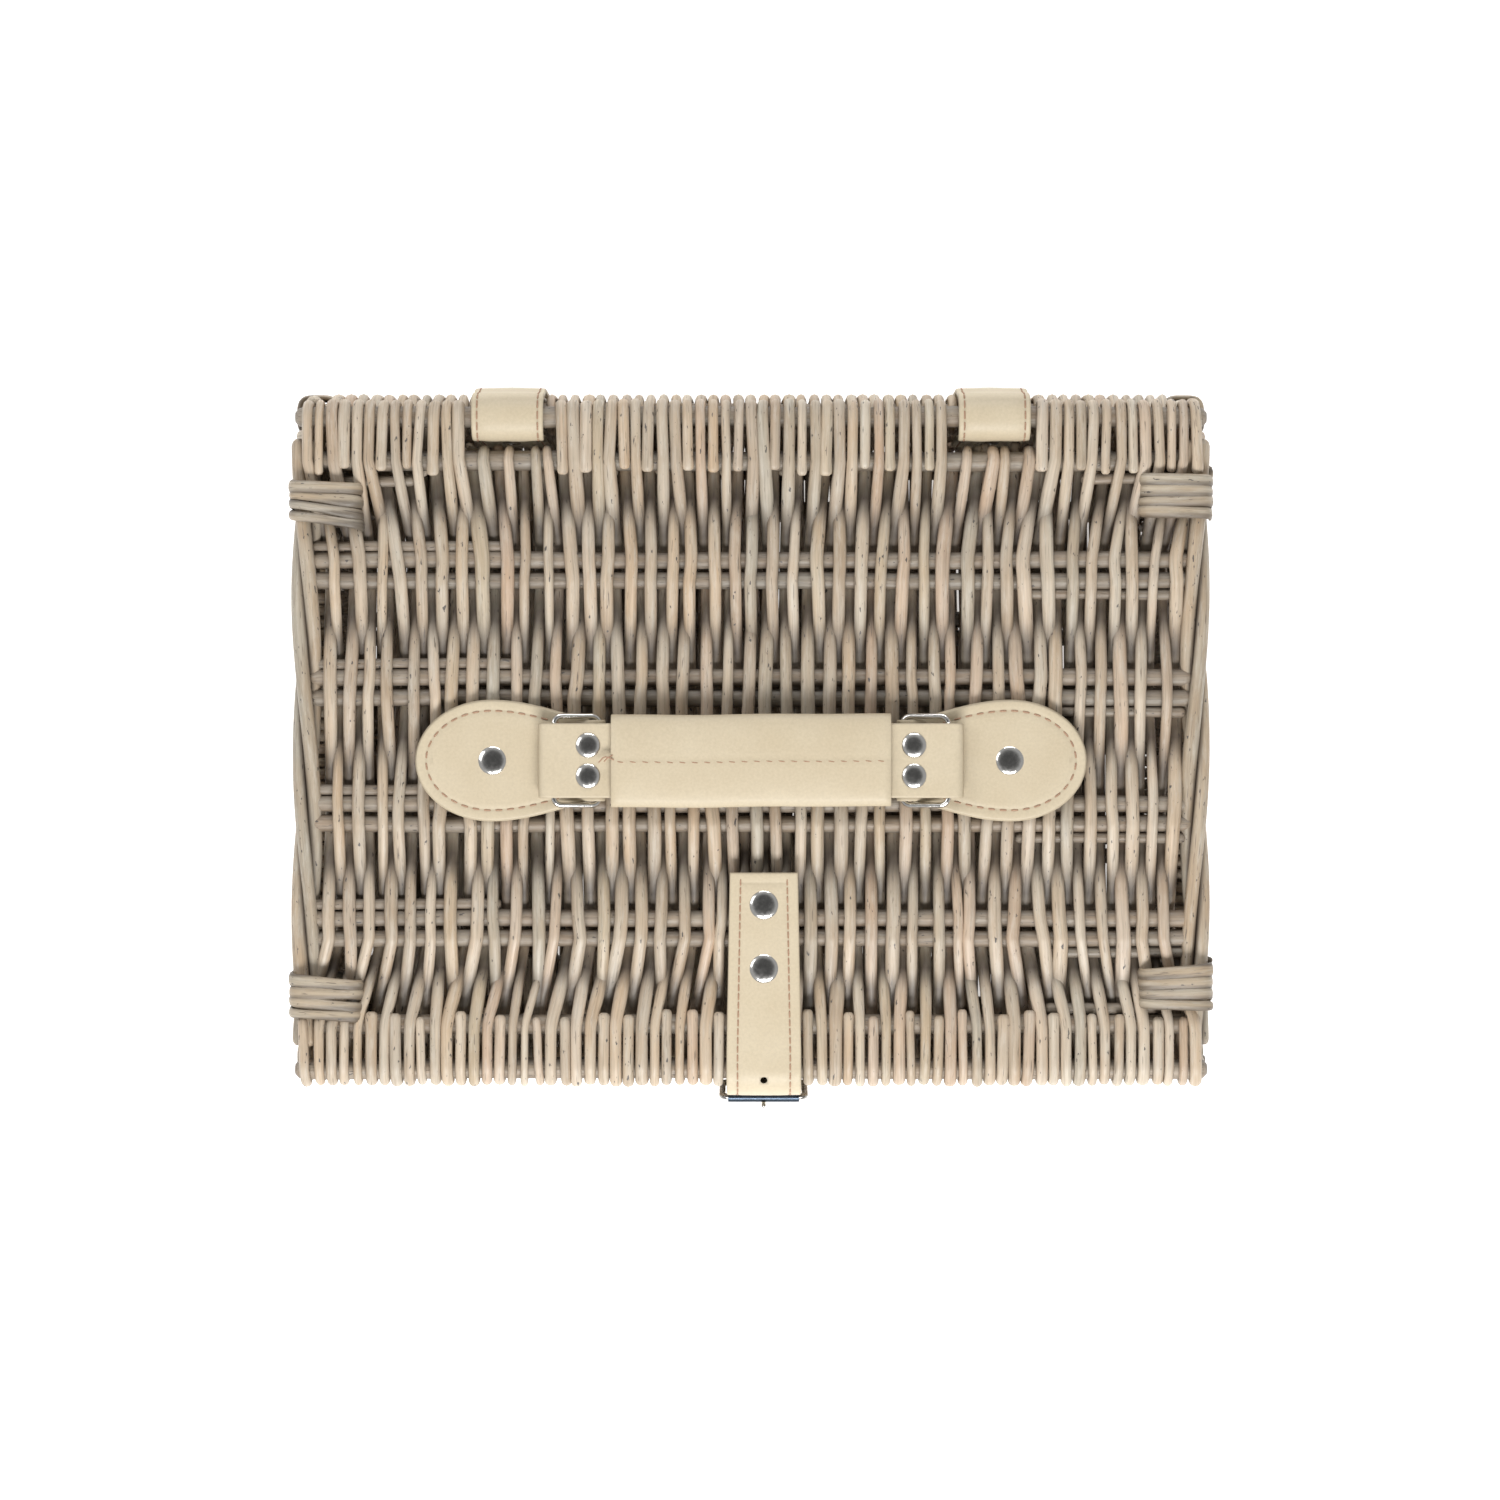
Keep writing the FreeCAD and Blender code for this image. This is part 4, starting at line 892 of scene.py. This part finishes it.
def make_hinge_straps():
    """Each goes up the back wall, over the lid's bare edge rod and down inside the wall."""
    rim = node_box("back_wall_weave")[1][2]
    crest = LID_TOP + 0.4
    for side, _ in SIDES:
        low, high = node_box(f"hinge_strap_{side}")
        x, y = node_middle(f"hinge_strap_{side}")[:2]
        leg = (high[1] - low[1]) / 2 - STRAP_LEATHER / 2
        corners = [(y + leg, low[2]), (y + leg, rim - 7), (y + leg - 3.0, rim + 1),
                   (y + leg - 3.3, LID_MIDDLE + 2), (y + 2.4, crest), (y - 7.2, crest),
                   (y - leg - 1.8, LID_MIDDLE + 3.5), (y - leg - 1.4, LID_MIDDLE - 5),
                   (y - leg, rim - 9), (y - leg, low[2])]
        line = rounded_line(corners, 5.0, 1.6)
        lay = Lay(in_plane(line, (1, 2), x), (-1, 0, 0))
        strap(f"hinge_leather_{side}", "basket", lay, (high[0] - low[0]) / 2, (f"hinge_strap_{side}",),
              stitch=2.2, pitch=4.0, crown=0.25)


def make_closure():
    """The closing strap, from the lid's top over its front edge and down through the buckle."""
    low, high = node_box("closure_strap")
    tail_low = node_box("closure_strap_tail")[0]
    x = node_middle("closure_strap")[0]
    half_width = (high[0] - low[0]) / 2
    half = STRAP_LEATHER / 2
    edge_y = LID_LOW[1] + EDGE_INSET
    bend = HALF_PANEL + 0.3 + half
    front_y = tail_low[1] + half
    flat = [[high[1], LID_TOP + half], [edge_y, LID_TOP + half + 0.3]]
    over = arc((edge_y, LID_MIDDLE), bend, 90, 180, 16)[1:]
    down = [[edge_y - bend, 117], [front_y, 101], [front_y, tail_low[2]]]
    line = rounded_line(np.concatenate([flat, over, down]), 2.5, 2.0)
    lay = Lay(in_plane(line, (1, 2), x), (-1, 0, 0))

    def width(s):
        """The strap widens a little towards the front, and its end narrows to a blunt point."""
        left = np.clip((lay.length - s) / 13.0, 0, 1)
        grow = 0.95 + 0.09 * np.clip(s / 70.0, 0, 1)
        return half_width * grow * np.sqrt(np.clip(1 - (1 - left) ** 2.2, 0.04, 1))

    batch = Batch()
    strip(batch, lay, width, STRAP_LEATHER, 1.6, stitch=SEAM, crown=0.22)
    piece = batch.build("closure_leather", CREAM, None, ("closure_strap", "closure_strap_tail"))
    top_hole = high[1] - edge_y + 3.5
    cut_strap_holes(piece, lay, (top_hole, lay.length - 35.5, lay.length - 20.0))
    sewn = Batch()
    for way in (-1, 1):
        s = np.linspace(2.0, lay.length - 12, 90)
        stitches(sewn, lay, np.stack([s, way * (width(s) - SEAM)], axis=1), 3.4, half - 0.05)
    seams = sewn.build("closure_leather_thread", THREAD, None)
    for item in (piece, seams):
        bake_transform(item)


def cut_strap_holes(piece, lay, places):
    """Punches the holes, each at a distance along the strap's middle line."""
    radius = 1.35
    cutters = []
    for s in places:
        spots = lay.world(np.array([s, s + 0.5]), np.zeros(2), np.zeros(2))
        axis = Vector((1, 0, 0)).cross(Vector(spots[1] - spots[0]).normalized())
        bpy.ops.mesh.primitive_cylinder_add(vertices=24, radius=radius * MM, depth=8 * MM,
                                            location=spots[0] * MM)
        cutter = bpy.context.object
        cutter.rotation_euler = axis.to_track_quat("Z", "Y").to_euler()
        cutters.append(cutter)
    apply_cuts(piece, cutters)


def apply_cuts(piece, cutters):
    """Takes the cutters out of the piece, keeps the cut edges crisp and deletes the cutters."""
    for cutter in cutters:
        modifier = piece.modifiers.new("cut", "BOOLEAN")
        modifier.operation = "DIFFERENCE"
        modifier.object = cutter
    bpy.context.view_layer.update()
    evaluated = piece.evaluated_get(bpy.context.evaluated_depsgraph_get())
    mesh = bpy.data.meshes.new_from_object(evaluated)
    piece.modifiers.clear()
    mesh.set_sharp_from_angle(angle=math.radians(58))
    piece.data = mesh
    for cutter in cutters:
        bpy.data.objects.remove(cutter, do_unlink=True)


def make_buckle_strap():
    """The strap on the front wall, folded round the buckle's end bar, with a slot for the prong."""
    low, high = node_box("buckle_strap")
    x = node_middle("buckle_strap")[0]
    half = STRAP_LEATHER / 2
    face = high[1] - half
    bar = (low[1] + 3.35, high[2] - 3.35)
    around = arc(bar, 1.35 + half, 0, 250, 18)
    line = rounded_line(np.concatenate([[[face, low[2]], [face, bar[1] - 6]], around]), 1.5, 2.0)
    lay = Lay(in_plane(line, (1, 2), x), (1, 0, 0))
    piece = strap("buckle_leather", "basket", lay, (high[0] - low[0]) / 2, ("buckle_strap",),
                  stitch=SEAM, pitch=3.5, crown=0.2, plain_end=12)
    bpy.ops.mesh.primitive_cube_add(size=1, location=(x * MM, (bar[0] - 3) * MM, bar[1] * MM))
    cutter = bpy.context.object
    cutter.scale = (4.6 * MM, 9 * MM, 10 * MM)
    bpy.context.view_layer.update()
    apply_cuts(piece, [cutter])


def teardrop(neck_half, neck_x, wide_x, end_x, wide_half, spread=0.0):
    """A pad's outline (distance from the middle, across): a straight neck that swells into an oval end."""
    swell = np.linspace(0, 1, 22)[:-1]
    rise = np.sin(swell * math.pi / 2) ** 1.2
    upper = np.stack([neck_x + (wide_x - neck_x) * swell,
                      neck_half + spread + (wide_half - neck_half) * rise], axis=1)
    angles = np.linspace(-math.pi / 2, math.pi / 2, 50)
    end = np.stack([wide_x + (end_x - wide_x + spread) * np.cos(angles),
                    (wide_half + spread) * np.sin(angles)], axis=1)
    across = np.linspace(neck_half + spread, -neck_half - spread, 12)[1:-1]
    neck = np.stack([np.full(len(across), neck_x), across], axis=1)
    ring = np.concatenate([neck, upper * [1, -1], end, upper[::-1]])
    return np.roll(ring, -len(neck) // 2, axis=0)


def make_handle_pads():
    """Each pad is two teardrops of leather sewn together, with a fold round its ring's inner bar."""
    neck_half = 15.8
    for side, way in SIDES:
        low, high = node_box(f"handle_pad_{side}")
        ring_low, ring_high = node_box(f"ring_{side}")
        y = (low[1] + high[1]) / 2
        tip = high[0] if way > 0 else -low[0]
        bar_x = (ring_low[0] if way > 0 else -ring_high[0]) + 1.25
        radius = (high[1] - low[1]) / 2
        shape = (neck_half, bar_x + 4.0, tip - 1.25 * radius, tip - 0.35, radius - 0.35)
        batch = Batch()
        for layer, spread, stitch, crown in ((0.5, 0.35, None, 0.0), (1.5, 0.0, 4.0, 0.45)):
            lay = pad_lay(way, y, LID_TOP + LEATHER * layer)
            plate(batch, lay, teardrop(*shape, spread), LEATHER, smooth_inset, stitch=stitch, crown=crown)
        fold = pad_fold(way, y, bar_x, ring_low[2] + WIRE)
        strip(batch, fold, neck_half, LEATHER, 1.5, profile_end=4.0, crown=0.0)
        batch.build(f"handle_pad_leather_{side}", CREAM, "lid", (f"handle_pad_{side}",))
        sewn = Batch()
        route = smooth_inset(teardrop(*shape), 4.0)[8:-8]
        stitches(sewn, pad_lay(way, y, LID_TOP), route, 4.4, LEATHER * 2 + 0.05, 0.36, 0.46)
        sewn.build(f"handle_pad_thread_{side}", THREAD, "lid")


def pad_lay(way, y, height):
    """A flat lay outwards from the middle of the lid, at a height."""
    return Lay([(0, y, height), (way * 140, y, height)], (0, -way, 0))


def pad_fold(way, y, bar_x, bar_z):
    """The line of a pad's fold: in over the ring's bar, round it and out again under the pad."""
    reach = WIRE + 0.05 + LEATHER / 2
    over = [[bar_x + 9.0, LID_TOP + LEATHER * 1.5 + 0.15], [bar_x + 3.0, bar_z + reach]]
    under = [[bar_x + 8, LID_TOP + LEATHER / 2]]
    line = rounded_line(np.concatenate([over, arc((bar_x, bar_z), reach, 90, 270, 16), under]), 2.0, 1.5)
    line[:, 0] *= way
    return Lay(in_plane(line, (0, 2), y), (0, way, 0))


def make_rings():
    """Each ring is a rounded rectangle of bright wire that links a pad to the handle."""
    across = np.array([0, 1.0, 0])
    bend = 3.2
    for side, way in SIDES:
        low, high = node_box(f"ring_{side}")
        near_x, far_x = (low[0], high[0]) if way > 0 else (high[0], low[0])
        y = (low[1] + high[1]) / 2
        near = np.array([near_x + way * WIRE, y, low[2] + WIRE])
        far = np.array([far_x - way * WIRE, y, high[2] - WIRE])
        half = (high[1] - low[1]) / 2 - WIRE
        length = np.linalg.norm(far - near)
        heading = unit(far - near)
        line = []
        for along, side_way, start in ((length - bend, 1, 0), (bend, 1, 90), (bend, -1, 180),
                                       (length - bend, -1, 270)):
            for angle in np.radians(np.linspace(start, start + 90, 8)):
                line.append(near + heading * (along + bend * math.cos(angle))
                            + across * (side_way * (half - bend) + bend * math.sin(angle)))
        line = np.array(line + line[:2])
        batch = Batch()
        tube(batch, line, np.cross(heading, across), WIRE, WIRE, 14, round_ends=False)
        batch.build(f"ring_wire_{side}", NICKEL, f"ring_{side}", (f"ring_{side}",))


def make_strap_ends():
    """The handle's leather, out of the sleeve, round each ring's outer bar and back into the sleeve."""
    sleeve_end = node_box("grip_sleeve")[1][0]
    flat = LEATHER / 2 + 0.05
    reach = WIRE + LEATHER / 2 + 0.1
    for side, way in SIDES:
        low, high = node_box(f"strap_end_{side}")
        ring_low, ring_high = node_box(f"ring_{side}")
        y = (low[1] + high[1]) / 2
        bar_x = (ring_high[0] if way > 0 else -ring_low[0]) - WIRE
        bar_z = ring_high[2] - WIRE
        top = [(sleeve_end - 6, bar_z + flat), (bar_x - 8, bar_z + flat), (bar_x - 2, bar_z + reach)]
        under = [(across, 2 * bar_z - up) for across, up in top[::-1]]
        around = arc((bar_x + 3.2, bar_z), reach, 90, -90, 14)
        line = rounded_line(np.concatenate([top, around, under]), 2.5, 1.4)
        line[:, 0] *= way
        lay = Lay(in_plane(line, (0, 2), y), (0, -way, 0))
        batch = Batch()
        strip(batch, lay, (high[1] - low[1]) / 2, LEATHER, 1.4, profile_end=4.0, crown=0.1)
        piece = batch.build(f"strap_end_leather_{side}", CREAM, None, (f"strap_end_{side}",))
        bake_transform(piece)


def seam_waver(x):
    """How far the sleeve's seam wanders from its straight line."""
    return 0.25 * np.sin(x * 0.045) + 0.12 * np.sin(x * 0.13 + 1)


def make_sleeve():
    """The sleeve: a squared oval tube of leather with turned ends and a lapped seam along its middle."""
    low, high = node_box("grip_sleeve")
    y, z = node_middle("grip_sleeve")[1:]
    half_width, half_height = (high - low)[1:] / 2
    power = 2.9
    count = 96
    angles = np.linspace(0, 2 * math.pi, count, endpoint=False)
    c, s = np.cos(angles), np.sin(angles)
    size = (np.abs(c) ** power + np.abs(s) ** power) ** (-1 / power)
    # (inwards, skin, shade) near each end: the inside of the turned end gets painted shade, and its cut edge
    # is darker.
    lip = [(7, 1.45, 0.25), (0.2, 1.40, 0.45), (0, 1.0, 0.5), (0.02, 0.25, 0.7)]
    stations = [(low[0] + inwards, skin, shade) for inwards, skin, shade in lip]
    stations += [(x, 0.0, 1.0) for x in np.linspace(low[0] + 0.3, high[0] - 0.3, 40)]
    stations += [(high[0] - inwards, skin, shade) for inwards, skin, shade in lip[::-1]]
    rows = []
    shades = []
    for x, skin, shade in stations:
        outside = skin == 0
        across = (half_width - skin) * size * c
        up = (half_height - skin) * size * s
        seam = np.exp(-((across - 0.6) / 0.55) ** 2) * (up > 0) * (0.42 if outside else 0.0)
        flap = np.clip((0.9 - across) / 1.2, 0, 1) * (up > 0) * (np.abs(across) < half_width * 0.9) * 0.22
        up = up - seam + flap * outside
        rows.append(np.stack([np.full(count, x), y + across + seam_waver(x), z + up], axis=1))
        # The seam's groove gets painted shade.
        shades.append(np.where(seam > 0.2, 0.45, shade))
    faces = ring_faces(len(rows), count)
    faces.append(tuple(range(count - 1, -1, -1)))
    faces.append(tuple(range((len(rows) - 1) * count, len(rows) * count)))
    batch = Batch()
    batch.add(np.concatenate(rows), faces, 0.5, np.concatenate(shades))
    batch.build("sleeve_leather", CREAM, "grip", ("grip_sleeve", "grip_core"))
    make_sleeve_thread(low, high, y)


def make_sleeve_thread(low, high, y):
    """The sleeve's stitches, and the loose ends of its thread at the left."""
    radius = 0.3
    sewn = Batch()
    x = np.linspace(low[0] + 1.5, high[0] - 1.5, 80)
    lay = Lay([(low[0], y, high[2]), (high[0], y, high[2])], (0, -1, 0))
    stitches(sewn, lay, np.stack([x - low[0], 0.5 - seam_waver(x)], axis=1), 4.8, -0.1, 0.34, 0.6, 0.14)
    corner = np.array([low[0], y, high[2]])
    loose = corner + [(1, 0.4, 0), (-2.2, 1.8, 0.9), (-4.5, -0.6, -0.7)]
    tube(sewn, rounded_line(loose, 1.4, 0.8), (0, 0, 1), radius, radius, 6)
    stub = corner + [(0.6, 2.1, 0), (-1.2, 1.0, 0), (-2.4, -0.2, -0.6)]
    tube(sewn, stub, (0, 0, 1), radius, radius, 6)
    sewn.build("sleeve_thread", THREAD, "grip")


def dress_metal():
    """The carried-over CAD pieces get their finish."""
    for name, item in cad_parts.items():
        if item.type != "MESH":
            continue
        item.data.materials.clear()
        item.data.materials.append(BUCKLE_FINISH.get(name, NICKEL))


# ---------------------------------------------------------------- studio, in metres
def add_light(name, place, size, power):
    """A rectangular light aimed at the object."""
    data = bpy.data.lights.new(name, "AREA")
    data.shape = "RECTANGLE"
    data.size, data.size_y = size
    data.energy = power
    item = bpy.data.objects.new(name, data)
    bpy.context.scene.collection.objects.link(item)
    target = Vector((0, 0, 0.1))
    item.location = place
    item.rotation_euler = (target - Vector(place)).to_track_quat("-Z", "Y").to_euler()


def make_world():
    """Bright all round and darker overhead, so that the metal's faces show a dark middle and a bright rim."""
    world = bpy.data.worlds.new("studio")
    bpy.context.scene.world = world
    world.use_nodes = True
    tree = Tree(world.node_tree)
    split = tree.nodes.new("ShaderNodeSeparateXYZ")
    tree.links.new(tree.nodes.new("ShaderNodeTexCoord").outputs["Generated"], split.inputs[0])
    sky = tree.ramp(split.outputs["Z"], [(0.0, 0.95), (0.80, 0.90), (0.93, 0.22), (1.0, 0.16)])
    background = tree.nodes["Background"]
    tree.links.new(sky, background.inputs["Color"])
    background.inputs["Strength"].default_value = 0.46


def make_floor():
    """A white sheet that glows a little, so that it stays white under the object."""
    bpy.ops.mesh.primitive_plane_add(size=8, location=(0, 0, -0.0005))
    floor = bpy.context.object
    floor.name = "studio_floor"
    material, _, shader = new_material("floor_white")
    shader.inputs["Base Color"].default_value = (0.95, 0.95, 0.95, 1)
    shader.inputs["Roughness"].default_value = 0.9
    shader.inputs["Emission Color"].default_value = (1, 1, 1, 1)
    shader.inputs["Emission Strength"].default_value = 0.5
    floor.data.materials.append(material)


def make_studio():
    bpy.context.scene.view_settings.view_transform = "Standard"
    make_world()
    make_floor()
    add_light("key_front", (0.1, -1.25, 1.3), (1.2, 0.5), 37)
    add_light("side_soft", (-1.3, 0.5, 1.3), (0.9, 0.9), 8)
    add_light("back_soft", (0.1, 1.5, 0.8), (1.2, 0.4), 13)


def make_camera():
    """Straight down on the lid, as wide as field at the lid's height."""
    distance = 1.6
    field = 0.5843
    sensor = 36
    data = bpy.data.cameras.new("camera")
    data.sensor_width = sensor
    data.lens = sensor * distance / field
    camera = bpy.data.objects.new("camera", data)
    bpy.context.scene.collection.objects.link(camera)
    camera.location = (-0.0004, -0.0053, LID_TOP * MM + distance)
    bpy.context.scene.camera = camera


make_camera()
make_lid_panel()
make_lid_sides()
make_body_panels()
make_corners()
make_hinge_straps()
make_closure()
make_buckle_strap()
make_handle_pads()
make_rings()
make_strap_ends()
make_sleeve()
dress_metal()
make_studio()
